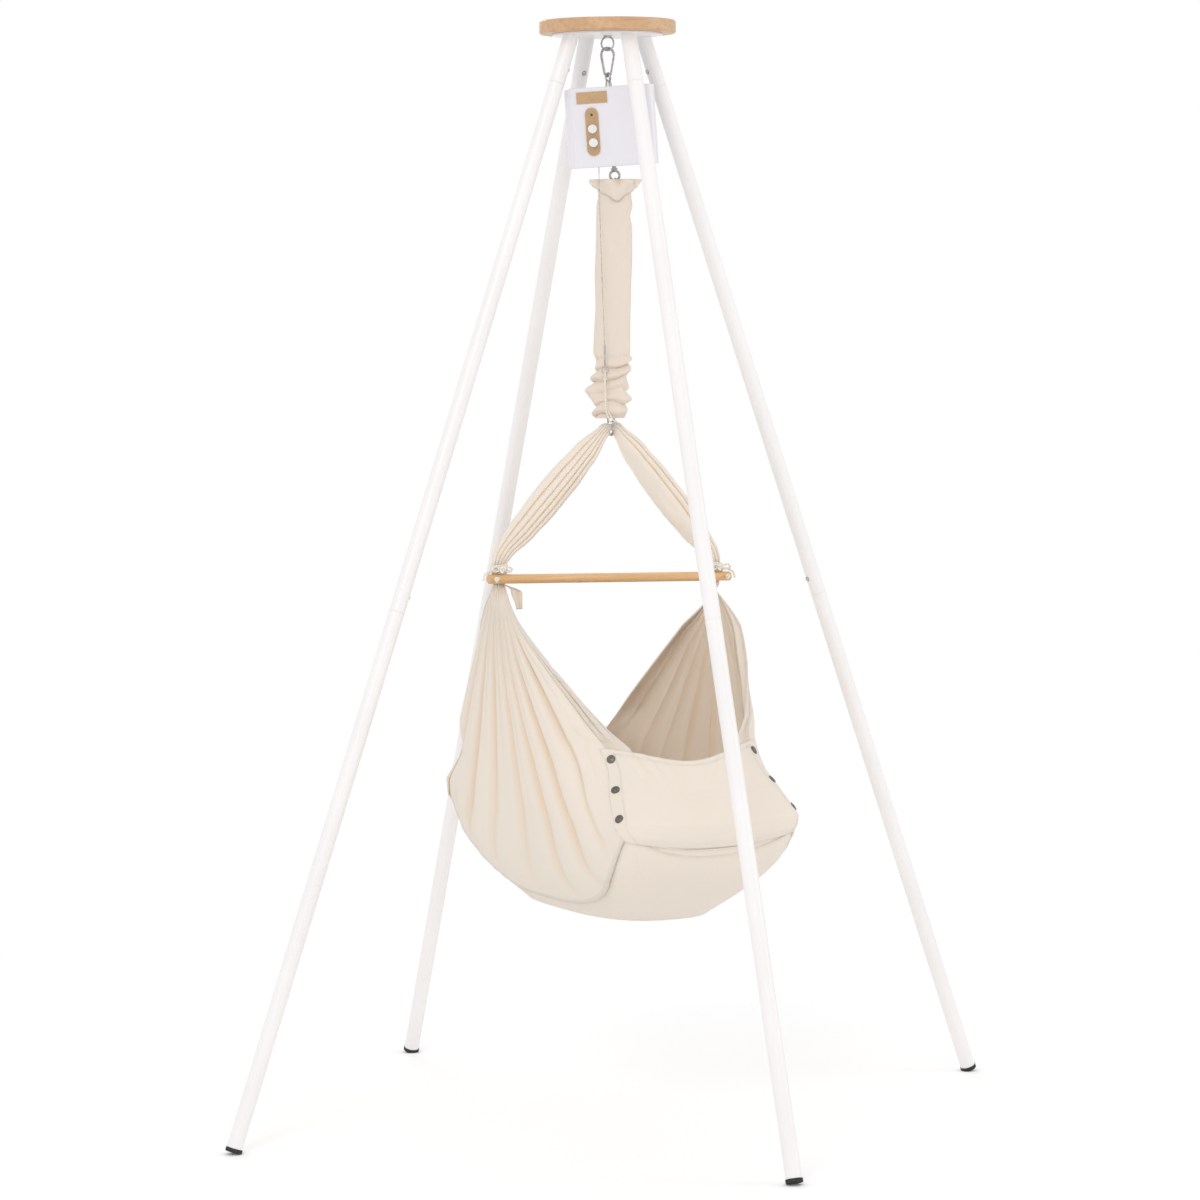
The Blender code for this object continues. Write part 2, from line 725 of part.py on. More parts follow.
def rounded_outline(width, depth, radius, per_corner=5):
    points = []
    for sx, sy, start in ((1, 1, 0), (-1, 1, 1), (-1, -1, 2), (1, -1, 3)):
        middle = (sx * (width / 2 - radius), sy * (depth / 2 - radius))
        for k in range(per_corner + 1):
            a = (start + k / per_corner) * math.pi / 2
            points.append((middle[0] + radius * math.cos(a), middle[1] + radius * math.sin(a)))
    return points


def rounded_prism(name, width, depth, radius, low, high, edge):
    """An upright prism with rounded corners and its upper and lower edges bevelled."""
    levels = [(low, edge), (low + 0.3 * edge, 0.3 * edge), (low + edge, 0), (high - edge, 0),
              (high - 0.3 * edge, 0.3 * edge), (high, edge)]
    if edge == 0:
        levels = [(low, 0), (high, 0)]
    rings = []
    for z, shrink in levels:
        outline = rounded_outline(width - 2 * shrink, depth - 2 * shrink, radius - shrink)
        rings.append([Vector((x, y, z)) for x, y in outline])
    return loft(name, rings)


def hole_along_y(name, radius, x, z, y0, y1, frame, sides=12):
    mesh = revolve(name, [(radius, y0), (radius, y1)], sides)
    return cutter(name, mesh, at(x, 0, z) @ turned("X", -math.pi / 2), frame)


def build_casing(frame):
    low, high = box_bottom(), box_top()
    halves = {}
    inner = cutter("casing_inner", rounded_prism(
        "casing_inner", BOX_WIDTH - 2 * BOX_WALL, BOX_DEPTH - 2 * BOX_WALL, BOX_CORNER_R - BOX_WALL,
        low + BOX_WALL, high - BOX_WALL, 0), None, frame)
    reach = 0.3
    front_y, back_y = BOX_SPLIT_Y - SEAT_GAP / 2, BOX_SPLIT_Y + SEAT_GAP / 2
    size = (reach, reach, reach)
    cut_back = cutter("cut_back_half", box_mesh("cut_back_half", size, (0, front_y + reach / 2, -0.1)),
                      None, frame)
    cut_front = cutter("cut_front_half", box_mesh("cut_front_half", size, (0, back_y - reach / 2, -0.1)),
                       None, frame)
    for name, half in (("motor_front", cut_back), ("motor_back", cut_front)):
        mesh = smooth(rounded_prism(name, BOX_WIDTH, BOX_DEPTH, BOX_CORNER_R, low, high, BOX_EDGE))
        halves[name] = add_object(name, mesh, white_plastic(), frame)
        boolean(halves[name], inner)
        boolean(halves[name], half)
    shank = revolve("swivel_hole", [(SWIVEL_SHANK_R + SHAFT_CLEARANCE, high - 0.01),
                                    (SWIVEL_SHANK_R + SHAFT_CLEARANCE, high + 0.01)], 16)
    boolean(halves["motor_front"], cutter("swivel_hole", shank, None, frame))
    bore = ROD_R + LIFT_CLEARANCE
    rod = revolve("rod_hole", [(bore, low - 0.01), (bore, low + 0.01)], 16)
    boolean(halves["motor_front"], cutter("rod_hole", rod, None, frame))
    return halves


def build_motor_front_trim(frame, front):
    """The bare wooden plate, the control panel, its two knobs and the lamp's lens."""
    face = -BOX_DEPTH / 2
    wide, thick, tall = NAME_PLATE
    x, z = NAME_PLATE_AT[0], box_top() + NAME_PLATE_AT[1]
    plate = box_mesh("blank_plate", NAME_PLATE, (x, face - SEAT_GAP - thick / 2, z))
    add_object("blank_plate", plate, beech("plate_beech"), frame)
    wide, thick, tall = PANEL_SIZE
    x, z = PANEL_AT[0], box_top() + PANEL_AT[1]
    outline = []
    for sign, start in ((1, 0.0), (-1, math.pi)):
        for k in range(9):
            a = start + math.pi * k / 8
            outline.append((x + wide / 2 * math.cos(a), z + sign * (tall / 2 - wide / 2) + wide / 2 * math.sin(a)))
    back_y, front_y = face - SEAT_GAP, face - SEAT_GAP - thick
    rings = [[Vector((px, y, pz)) for px, pz in outline] for y in (back_y, front_y)]
    panel = add_object("control_panel", loft("control_panel", rings), beech("plate_beech"), frame)
    for name, drop in KNOBS_AT.items():
        spot = box_top() + drop
        hole = hole_along_y(name + "_hole", KNOB_SHAFT_R + SHAFT_CLEARANCE, x, spot, face - 0.01, face + 0.01, frame)
        boolean(panel, hole)
        boolean(front, hole)
        build_knob(name, frame, x, spot, front_y)
    led_hole = hole_along_y("led_hole", LED_R + SEAT_GAP, x, box_top() + LED_AT, face - 0.01, face + 0.01, frame)
    boolean(panel, led_hole)
    boolean(front, led_hole)
    lens = revolve("led_lens", [(0, 0), (LED_R, 0), (LED_R, LED_LENGTH - 0.001), (LED_R * 0.6, LED_LENGTH),
                                (0, LED_LENGTH)], 12)
    lens_start = front_y - 0.0008 + LED_LENGTH
    place = at(x, lens_start, box_top() + LED_AT) @ turned("X", math.pi / 2)
    add_object("led_lens", lens, material("green_lens", (0.05, 0.12, 0.06), 0.2), frame, place)


def board_front_y():
    return -BOX_DEPTH / 2 + BOARD_BEHIND_FRONT


def build_knob(name, frame, x, z, panel_y):
    """A turned knob with a pointer bar, on a shaft that reaches the board inside."""
    inside = board_front_y() - SEAT_GAP - (panel_y - SEAT_GAP)
    profile = [
        (0, -inside), (KNOB_SHAFT_R, -inside), (KNOB_SHAFT_R, 0), (KNOB_R, 0),
        (KNOB_R, KNOB_HEIGHT * 0.55), (KNOB_R * 0.9, KNOB_HEIGHT * 0.68), (KNOB_R * 0.8, KNOB_HEIGHT * 0.7),
        (0, KNOB_HEIGHT * 0.7),
    ]
    place = at(x, panel_y - SEAT_GAP, z) @ turned("X", math.pi / 2)
    knob = add_object(name, revolve(name, profile, 16), white_plastic(), frame, place)
    wide, _, long = KNOB_POINTER
    grip = box_mesh(name + "_grip", (wide, long, KNOB_HEIGHT * 0.6), (0, 0, KNOB_HEIGHT * 0.7))
    tool = cutter(name + "_grip", grip)
    tool.parent = knob
    boolean(knob, tool, "UNION")


def build_motor_inside(frame, front, back):
    face = BOX_DEPTH / 2
    board = box_mesh("control_board", BOARD_SIZE,
                     (PANEL_AT[0], board_front_y() + BOARD_SIZE[1] / 2, box_top() + PANEL_AT[1]))
    held = add_object("control_board", board, material("board_green", (0.03, 0.16, 0.08), 0.5), frame)
    inner_face = -BOX_DEPTH / 2 + BOX_WALL + SEAT_GAP
    for k, (dx, dz) in enumerate(((-0.016, 0.039), (0.016, -0.039))):
        spacer = revolve("spacer", [(0.0025, inner_face), (0.0025, board_front_y() + 0.0005)], 10)
        place = at(PANEL_AT[0] + dx, 0, box_top() + PANEL_AT[1] + dz) @ turned("X", -math.pi / 2)
        boolean(held, cutter(f"board_spacer_{k}", spacer, place, frame), "UNION")
    sx, sz = SOCKET_AT
    hole = hole_along_y("socket_hole", SOCKET_R + SEAT_GAP, sx, box_top() + sz, face - 0.01, face + 0.01, frame)
    boolean(back, hole)
    rim = SOCKET_R + 0.0015
    profile = [(0, 0), (SOCKET_R, 0), (SOCKET_R, SOCKET_LENGTH), (rim, SOCKET_LENGTH), (rim, SOCKET_LENGTH + 0.0015),
               (0.0028, SOCKET_LENGTH + 0.0015), (0.0028, 0.004), (0, 0.004)]
    start = face + SEAT_GAP - SOCKET_LENGTH
    place = at(sx, start, box_top() + sz) @ turned("X", -math.pi / 2)
    add_object("power_inlet", revolve("power_inlet", profile, 16), black_plastic(), frame, place)
    build_pinion(frame)
    axle_y, axle_z = RACK_PITCH_Y + PINION_PITCH_R, box_top() - PINION_BELOW_TOP
    gear_x = PINION_WIDTH / 2 + 0.0020 + GEARBOX_SIZE[0] / 2
    gearbox = add_object("gearmotor", box_mesh("gearmotor", GEARBOX_SIZE, (gear_x, axle_y, axle_z)),
                         material("motor_steel", (0.45, 0.45, 0.45), 0.35, 1.0), frame)
    can = revolve("motor_can", [(CAN_R, 0), (CAN_R, CAN_LENGTH)], 20)
    can_x = gear_x + GEARBOX_SIZE[0] / 2 - 0.001
    sideways = turned("Y", math.pi / 2)
    boolean(gearbox, cutter("motor_can", can, at(can_x, axle_y, axle_z) @ sideways, frame), "UNION")
    bore_r = PINION_SHAFT_R + SEAT_GAP
    bore = revolve("gear_bore", [(bore_r, 0), (bore_r, 0.011)], 12)
    bore_x = gear_x - GEARBOX_SIZE[0] / 2 - 0.001
    boolean(gearbox, cutter("gear_bore", bore, at(bore_x, axle_y, axle_z) @ sideways, frame))
    foot_y = axle_y + GEARBOX_SIZE[1] / 2
    foot_reach = face - BOX_WALL - SEAT_GAP - foot_y
    foot = box_mesh("gear_foot", (GEARBOX_SIZE[0], foot_reach + 0.001, 0.012),
                    (gear_x, foot_y + foot_reach / 2 - 0.0005, axle_z))
    boolean(gearbox, cutter("gear_foot", foot, None, frame), "UNION")
    build_casing_screws(frame, front, back)


def pinion_outline():
    """Outline of the pinion in its own plane: twelve teeth with involute flanks."""
    base_r = PINION_PITCH_R * math.cos(PRESSURE_ANGLE)
    half_at_base = TOOTH_THICKNESS / 2 / PINION_PITCH_R + math.tan(PRESSURE_ANGLE) - PRESSURE_ANGLE
    tip_angle = math.acos(base_r / PINION_TIP_R)
    half_at_tip = half_at_base - math.tan(tip_angle) + tip_angle
    half_at_pitch = TOOTH_THICKNESS / 2 / PINION_PITCH_R
    flank = [(PINION_ROOT_R, half_at_base), (base_r, half_at_base),
             (PINION_PITCH_R, half_at_pitch), (PINION_TIP_R, half_at_tip)]
    outline = []
    for tooth in range(PINION_TEETH):
        middle = (tooth + 0.5) * 2 * math.pi / PINION_TEETH
        outline += [(r, middle - a) for r, a in flank]
        outline += [(r, middle + a) for r, a in reversed(flank)]
    return [(r * math.cos(a), r * math.sin(a)) for r, a in outline]


def build_pinion(frame):
    """The pinion that lifts the rack. Its axis is the box's X, and a tooth space faces the rack."""
    half = PINION_WIDTH / 2
    rings = [[Vector((x, y, z)) for x, y in pinion_outline()] for z in (-half, half)]
    place = at(0, RACK_PITCH_Y + PINION_PITCH_R, box_top() - PINION_BELOW_TOP) @ turned("Y", math.pi / 2)
    pinion = add_object("drive_pinion", loft("drive_pinion", rings), steel(), frame,
                        place @ turned("Z", math.pi / 2))
    shaft = revolve("pinion_shaft", [(PINION_SHAFT_R, half - 0.001), (PINION_SHAFT_R, half + 0.011)], 12)
    tool = cutter("pinion_shaft", shaft)
    tool.parent = pinion
    boolean(pinion, tool, "UNION")


def rack_outline():
    """Outline of the rack in (Y, Z), with one tooth level with the pinion's axis."""
    pitch = 2 * math.pi * PINION_PITCH_R / PINION_TEETH
    level = box_top() - PINION_BELOW_TOP
    tip_half = TOOTH_THICKNESS / 2 - RACK_TIP * math.tan(PRESSURE_ANGLE)
    root_half = TOOTH_THICKNESS / 2 + RACK_ROOT * math.tan(PRESSURE_ANGLE)
    tip_y, root_y = RACK_PITCH_Y + RACK_TIP, RACK_PITCH_Y - RACK_ROOT
    top, bottom = level + RACK_ABOVE_PINION, level - RACK_BELOW_PINION
    outline = [(RACK_BACK_Y, bottom), (root_y, bottom)]
    first = -int((RACK_BELOW_PINION - root_half) / pitch)
    last = int((RACK_ABOVE_PINION - root_half) / pitch)
    for k in range(first, last + 1):
        z = level + k * pitch
        outline += [(root_y, z - root_half), (tip_y, z - tip_half), (tip_y, z + tip_half), (root_y, z + root_half)]
    return outline + [(root_y, top), (RACK_BACK_Y, top)]


def lift_eye_centre_z():
    return box_bottom() - LIFT_EYE_BELOW_BOX - LIFT_EYE_COLLAR_THICKNESS - LIFT_EYE_RING_R + SWIVEL_WIRE_R * 0.6


def build_lift_rod(frame):
    """The rod that the motor lifts: its toothed rack above, its eye below the box."""
    collar_high = box_bottom() - LIFT_EYE_BELOW_BOX
    collar_low = collar_high - LIFT_EYE_COLLAR_THICKNESS
    rod_top = box_top() - PINION_BELOW_TOP - RACK_BELOW_PINION + 0.001
    profile = [(0, collar_low), (LIFT_EYE_COLLAR_R * 0.75, collar_low), (LIFT_EYE_COLLAR_R, collar_high),
               (ROD_R, collar_high), (ROD_R, rod_top), (0, rod_top)]
    rod = add_object("lift_rod", revolve("lift_rod", profile, 16), steel(), frame)
    ring = torus_mesh("lift_ring", LIFT_EYE_RING_R, SWIVEL_WIRE_R, 0, (0, 0, lift_eye_centre_z()))
    boolean(rod, cutter("lift_ring", ring, None, frame), "UNION")
    rings = [[Vector((x, y, z)) for y, z in rack_outline()] for x in (-RACK_WIDTH / 2, RACK_WIDTH / 2)]
    boolean(rod, cutter("rack", loft("rack", rings), None, frame), "UNION")


def build_casing_screws(frame, front, back):
    """The two screws that hold the back half, and the posts of the front half that take them."""
    face = BOX_DEPTH / 2
    shank = CASING_SCREW_R * 0.6
    profile = [(0, 0), (shank, 0), (shank, CASING_SCREW_LENGTH), (CASING_SCREW_R, CASING_SCREW_LENGTH),
               (CASING_SCREW_R, CASING_SCREW_LENGTH + 0.0015), (CASING_SCREW_R * 0.7, CASING_SCREW_LENGTH + 0.0022),
               (0, CASING_SCREW_LENGTH + 0.0022)]
    wall = face - BOX_WALL
    for name, (x, drop) in CASING_SCREW_PLACES.items():
        z = box_top() + drop
        post = revolve(name + "_post", [(CASING_POST_R, -wall - 0.001), (CASING_POST_R, wall - SEAT_GAP)], 16)
        place = at(x, 0, z) @ turned("X", -math.pi / 2)
        boolean(front, cutter(name + "_post", post, place, frame), "UNION")
        start = face + SEAT_GAP - CASING_SCREW_LENGTH
        drill = hole_along_y(name + "_hole", shank + SEAT_GAP, x, z, start - 0.002, face + 0.01, frame, 10)
        boolean(front, drill)
        boolean(back, drill)
        place = at(x, start, z) @ turned("X", -math.pi / 2)
        add_object(name, revolve(name, profile, 10), steel(), frame, place)


def lift_eye_low_wire():
    """World place of the lift eye's lowest wire centre, from which the spring hangs."""
    return motor_place() @ Vector((0, 0, lift_eye_centre_z() - LIFT_EYE_RING_R))


def spring_line():
    """World places of the spring's top and bottom hook wires."""
    top = lift_eye_low_wire() + Vector((0, 0, SWIVEL_WIRE_R + SEAT_GAP + SPRING_WIRE_R))
    bottom = Vector((0, 0, APEX_HOOK_TOP_Z - HOOK_WIRE_R - SEAT_GAP - SPRING_WIRE_R))
    return top, bottom


def coil_ends():
    """Heights of the coil's upper and lower ends, between the spring's two hooks."""
    top, bottom = spring_line()
    reach = 2 * SPRING_HOOK_R + SPRING_END_LENGTH
    return top.z - reach, bottom.z + reach


def build_spring():
    """One unbroken wire: a hook over the lift eye, the coil, and a hook under the apex hook's bow."""
    top, bottom = spring_line()
    turn = BOX_AZIMUTH + math.pi / 2
    side = Vector((math.cos(turn), math.sin(turn), 0))
    points = []
    centre = top - Vector((0, 0, SPRING_HOOK_R))
    for k in range(7):
        a = math.radians(-40 + 220 * k / 6)
        points.append(centre + side * (SPRING_HOOK_R * math.cos(a)) + Vector((0, 0, SPRING_HOOK_R * math.sin(a))))
    coil_top, coil_bottom = coil_ends()
    count = SPRING_TURNS * SPRING_POINTS_PER_TURN
    for k in range(count + 1):
        t = k / count
        a = turn + math.pi + 2 * math.pi * k / SPRING_POINTS_PER_TURN
        line = top.lerp(bottom, (top.z - (coil_top + (coil_bottom - coil_top) * t)) / (top.z - bottom.z))
        points.append(line + Vector((math.cos(a), math.sin(a), 0)) * SPRING_COIL_R)
    centre = bottom + Vector((0, 0, SPRING_HOOK_R))
    low_side = Vector((-1, 0, 0))
    for k in range(7):
        a = math.radians(-220 * k / 6)
        points.append(centre + low_side * (SPRING_HOOK_R * math.cos(a)) + Vector((0, 0, SPRING_HOOK_R * math.sin(a))))
    print("least gap of the spring to itself", round(least_gap(points, SPRING_WIRE_R) * 1000, 2), "mm")
    wire("spring", points, SPRING_WIRE_R, material("spring_steel", (0.35, 0.35, 0.35), 0.35, 1.0))


def least_gap(points, radius):
    """Least free space between stretches of one wire that aren't neighbours along it."""
    least = 1.0
    middles = [(a + b) / 2 for a, b in zip(points, points[1:])]
    spots = points + middles
    places = list(range(len(points))) + [k + 0.5 for k in range(len(middles))]
    for i in range(len(spots)):
        for j in range(i + 1, len(spots)):
            if abs(places[i] - places[j]) > SPRING_POINTS_PER_TURN * 0.6:
                least = min(least, (spots[i] - spots[j]).length - 2 * radius)
    return least


def spring_axis(z):
    top, bottom = spring_line()
    t = (top.z - z) / (top.z - bottom.z)
    return top.lerp(bottom, t)


def build_sleeve():
    """The cotton sleeve over the spring: a ruffle on top, a flat hose, and tucks at the bottom."""
    across = Vector((math.cos(BOX_AZIMUTH), math.sin(BOX_AZIMUTH), 0))
    deep = Vector((-across.y, across.x, 0))
    levels = [(SLEEVE_TOP_Z + RUFFLE_LENGTH * (0.35 - t), "ruffle", t) for t in (0.0, 0.5)]
    levels += [(coil_ends()[0], "neck", 0), (coil_ends()[0] - 0.022, "hose", 0.1)]
    hose_top, hose_low = SLEEVE_TOP_Z - 0.080, SLEEVE_BUNCH_TOP_Z
    levels += [(hose_top + (hose_low - hose_top) * k / 5, "hose", k / 5) for k in range(5)]
    steps = SLEEVE_TUCKS * 3
    levels += [(SLEEVE_BUNCH_TOP_Z + (SLEEVE_BOTTOM_Z - SLEEVE_BUNCH_TOP_Z) * k / steps, "bunch", k / steps)
               for k in range(steps + 1)]
    grid, offsets = [], []
    for z, kind, t in levels:
        middle = spring_axis(z)
        row, push = [], []
        for c in range(SLEEVE_SIDES):
            a = 2 * math.pi * c / SLEEVE_SIDES
            wide, thin = SLEEVE_HALF_WIDTH, SLEEVE_HALF_DEPTH
            if kind == "ruffle":
                frill = 0.0035 * math.cos(RUFFLE_FRILLS * a) * (1 - t)
                wide, thin = 0.036 + frill, 0.021 + frill
            elif kind == "neck":
                wide = 0.0285
                thin = SPRING_COIL_R + SPRING_WIRE_R + SEAT_GAP + SLEEVE_THICKNESS / 2
            elif kind == "hose":
                wide += 0.0015 * math.sin(7 * t)
            else:
                tuck = math.cos(2 * math.pi * SLEEVE_TUCKS * t + 0.9 * math.sin(a))
                wide = 0.0280 + 0.0045 * tuck + 0.006 * math.sin(math.pi * t)
                thin = 0.0215 + 0.0035 * tuck
            row.append(middle + across * (wide * math.cos(a)) + deep * (thin * math.sin(a)))
            push.append((across * math.cos(a) + deep * math.sin(a)).normalized() * (SLEEVE_THICKNESS / 2))
        grid.append(row)
        offsets.append(push)
    add_object("sleeve", sheet("sleeve", grid, offsets, around=True), cotton())


def build_safety_cable():
    """The steel safety wire from the motor's underside with its long ferrule, and the key ring."""
    across = Vector((math.cos(BOX_AZIMUTH), math.sin(BOX_AZIMUTH), 0))
    near = Vector((math.sin(BOX_AZIMUTH), -math.cos(BOX_AZIMUTH), 0))
    top = motor_place() @ Vector((-0.0280, -0.0300, box_bottom() - SEAT_GAP))
    stops = [top]
    for z, right, front in ((SLEEVE_TOP_Z - 0.027, -0.0172, 0.0315), (SLEEVE_TOP_Z - 0.127, -0.0150, 0.0290),
                            (FERRULE_TOP_Z + 0.0774, -0.0125, 0.0285),
                            (FERRULE_TOP_Z + 0.001, -0.0100, KEY_RING_FRONT)):
        stops.append(across * right + near * front + Vector((0, 0, z)))
    points = smooth_route(stops, 5)
    factors = [1.0] * len(points)
    swage = FERRULE_R / CABLE_R
    below = Vector((0, 0, -1))
    for drop, factor in ((0.0012, swage), (FERRULE_LENGTH, swage)):
        points.append(stops[-1] + below * drop)
        factors.append(factor)
    wire("safety_cable", points, CABLE_R, steel(), factors=factors)
    centre = points[-1] + below * (SEAT_GAP + KEY_RING_WIRE_R + KEY_RING_R)
    ring = torus_mesh("key_ring", KEY_RING_R, KEY_RING_WIRE_R, BOX_AZIMUTH, centre, 16, 6)
    add_object("key_ring", ring, steel())
    return centre


def bar_place():
    return at(*BAR_CENTRE) @ turned("Y", BAR_TILT)


def build_spreader_bar():
    profile = [(0, -BAR_LENGTH / 2), (BAR_R - 0.0015, -BAR_LENGTH / 2), (BAR_R, -BAR_LENGTH / 2 + 0.0015),
               (BAR_R, BAR_LENGTH / 2 - 0.0015), (BAR_R - 0.0015, BAR_LENGTH / 2), (0, BAR_LENGTH / 2)]
    mesh = revolve("spreader_bar", profile, 20)
    mesh.transform(turned("Y", math.pi / 2))
    bar = add_object("spreader_bar", mesh, beech(), None, bar_place())
    for sign in (-1, 1):
        bore = CORD_R + CORD_CLEARANCE
        drill = revolve("bar_hole", [(bore, -0.02), (bore, 0.02)], 12)
        place = at(sign * (BAR_LENGTH / 2 - BAR_HOLE_FROM_END), 0, 0) @ turned("X", math.pi / 2)
        tool = cutter(f"bar_hole_{sign}", drill, place)
        tool.parent = bar
        boolean(bar, tool)


def tie_point(sign):
    """Where the cloth is tied to the bar, on the bar's axis."""
    return bar_place() @ Vector((sign * (BAR_LENGTH / 2 - TIE_FROM_BAR_END), 0, 0))


def clamp(value):
    return min(max(value, 0.0), 1.0)


def wall_top():
    """Half width and height at which the hanging cloth is gathered."""
    return BAR_LENGTH / 2 - TIE_FROM_BAR_END, BAR_CENTRE[2] - FAN_GATHER_BELOW_BAR


def plan_shape(z, end):
    """Half width, reach of one end and squareness of the cradle's plan at a height."""
    (z0, reach0), (z1, reach1) = END_REACH[end]
    top_width, top_z = wall_top()
    if z < TUB_RIM_Z:
        h = clamp((z - TUB_BOTTOM_Z) / (TUB_RIM_Z - TUB_BOTTOM_Z))
        wide = TUB_HALF_WIDTH * (1 - TUB_NARROWING * (1 - h) ** 3)
        reach = reach0 * (1 - TUB_SHORTENING * (1 - h) ** 2)
        return wide, reach, FLOOR_SQUARENESS + (RIM_SQUARENESS[end] - FLOOR_SQUARENESS) * h * h
    wide = TUB_HALF_WIDTH + (top_width - TUB_HALF_WIDTH) * clamp((z - TUB_RIM_Z) / (top_z - TUB_RIM_Z))
    if z < z1:
        reach = reach0 + (reach1 - reach0) * clamp((z - z0) / (z1 - z0))
    else:
        reach = reach1 + (GATHER_REACH - reach1) * clamp((z - z1) / (top_z - z1))
    rounding = 1 - (1 - clamp((z - z0) / (z1 - z0))) ** 3
    square = RIM_SQUARENESS[end] + (TOP_SQUARENESS[end] - RIM_SQUARENESS[end]) * rounding
    return wide, reach, square


def plan_arc(shape, limit):
    """Angles from the end's middle to a limit with the plan's length up to each, closest at its corner."""
    power = shape[2] / 2
    steps, last = [(0.0, 0.0)], None
    for k in range(65):
        u = k / 64
        share = 0.5 * (2 * u) ** power if u < 0.5 else 1 - 0.5 * (2 - 2 * u) ** power
        angle = share * math.pi / 2
        point = plan_point(shape, min(angle, limit), -1)[0]
        if last:
            steps.append((min(angle, limit), steps[-1][1] + (point - last).length))
        last = point
        if angle >= limit:
            break
    return steps


def plan_angle(steps, share):
    """The angle at which a share of the plan's length is reached."""
    goal = share * steps[-1][1]
    for (a0, d0), (a1, d1) in zip(steps, steps[1:]):
        if d1 >= goal:
            return a0 + (a1 - a0) * (goal - d0) / max(d1 - d0, 1e-9)
    return steps[-1][0]


def plan_point(shape, angle, end, outward=0.0):
    """A point of the plan, its angle taken from the end's middle, pushed out along its normal."""
    wide, reach, square = shape
    x = wide * math.copysign(abs(math.sin(angle)) ** (2 / square), math.sin(angle))
    y = reach * abs(math.cos(angle)) ** (2 / square)
    way = plan_normal(shape, x, y)
    return Vector((x + way.x * outward, end * (y + way.y * outward), 0)), Vector((way.x, end * way.y, 0))


def plan_normal(shape, x, y):
    wide, reach, square = shape
    across = math.copysign((abs(x) / wide) ** (square - 1) / wide, x)
    return Vector((across, (abs(y) / reach) ** (square - 1) / reach, 0)).normalized()


def wall_point(y, z, outward):
    """A point of the right-hand wall at a place along the cradle, pushed out along the plan's normal."""
    end = -1 if y < 0 else 1
    shape = plan_shape(z, end)
    wide, reach, square = shape
    share = min(abs(y) / reach, 0.99)
    x = wide * (1 - share ** square) ** (1 / square)
    way = plan_normal(shape, x, share * reach)
    return Vector((x + way.x * outward, end * share * reach + end * way.y * outward, z))


def edge_y(z, edge):
    """Reach of a fan's front or back edge at a height."""
    (y1, z1), (y2, z2) = edge
    _, top_z = wall_top()
    if z >= z1:
        return y1 * clamp((top_z - z) / (top_z - z1))
    return y1 + (y2 - y1) * clamp((z1 - z) / (z1 - z2))


def uncovered(y, z):
    """Nought where an end panel lies on the fan and one where the pleats are free."""
    edge, top = (FAN_FRONT_EDGE, APRON_TOP_Z) if y < 0 else (FAN_BACK_EDGE, HEAD_TOP_Z)
    inside = abs(edge_y(min(z, top), edge)) - abs(y)
    return max(clamp((inside - COVERED_WIDTH) / 0.035), clamp((z - top - 0.012) / 0.030))


def fan_outline():
    """The fan's lower outline in (y, z), from the front rim corner round the hem to the back one."""
    (fy1, fz1), (fy2, fz2) = FAN_FRONT_EDGE
    (by1, bz1), (by2, bz2) = FAN_BACK_EDGE
    path = [(fy1, fz1), (fy2, fz2)]
    middle, half = (fy2 + by2) / 2, (by2 - fy2) / 2
    for k in range(1, 24):
        a = math.pi * k / 24
        y = middle - half * math.cos(a)
        corner = fz2 if y < middle else bz2
        path.append((y, FAN_HEM_LOW_Z + (corner - FAN_HEM_LOW_Z) * abs((y - middle) / half) ** FAN_HEM_POWER))
    path += [(by2, bz2), (by1, bz1)]
    return path


def along_path(path, count):
    """Points spread evenly along a polyline."""
    lengths = [0.0]
    for (y0, z0), (y1, z1) in zip(path, path[1:]):
        lengths.append(lengths[-1] + math.hypot(y1 - y0, z1 - z0))
    out = []
    k = 0
    for i in range(count + 1):
        d = lengths[-1] * i / count
        while k < len(path) - 2 and lengths[k + 1] < d:
            k += 1
        t = (d - lengths[k]) / (lengths[k + 1] - lengths[k])
        out.append((path[k][0] + (path[k + 1][0] - path[k][0]) * t, path[k][1] + (path[k + 1][1] - path[k][1]) * t))
    return out


def tie_back_y():
    """Middle of the cloth where it passes behind the bar, which is flat and a strap thick."""
    return BAR_R + SEAT_GAP + STRAP_THICKNESS / 2


def grid_normals(grid, half, around=False, outward=None):
    """Half the cloth's thickness along the normal at every point of a grid."""
    rows, columns = len(grid), len(grid[0])
    offsets = []
    for r in range(rows):
        row = []
        for c in range(columns):
            up = grid[min(r + 1, rows - 1)][c] - grid[max(r - 1, 0)][c]
            if around:
                along = grid[r][(c + 1) % columns] - grid[r][(c - 1) % columns]
            else:
                along = grid[r][min(c + 1, columns - 1)] - grid[r][max(c - 1, 0)]
            way = along.cross(up).normalized()
            if way.dot(outward(grid[r][c])) < 0:
                way = -way
            row.append(way * half)
        offsets.append(row)
    return offsets


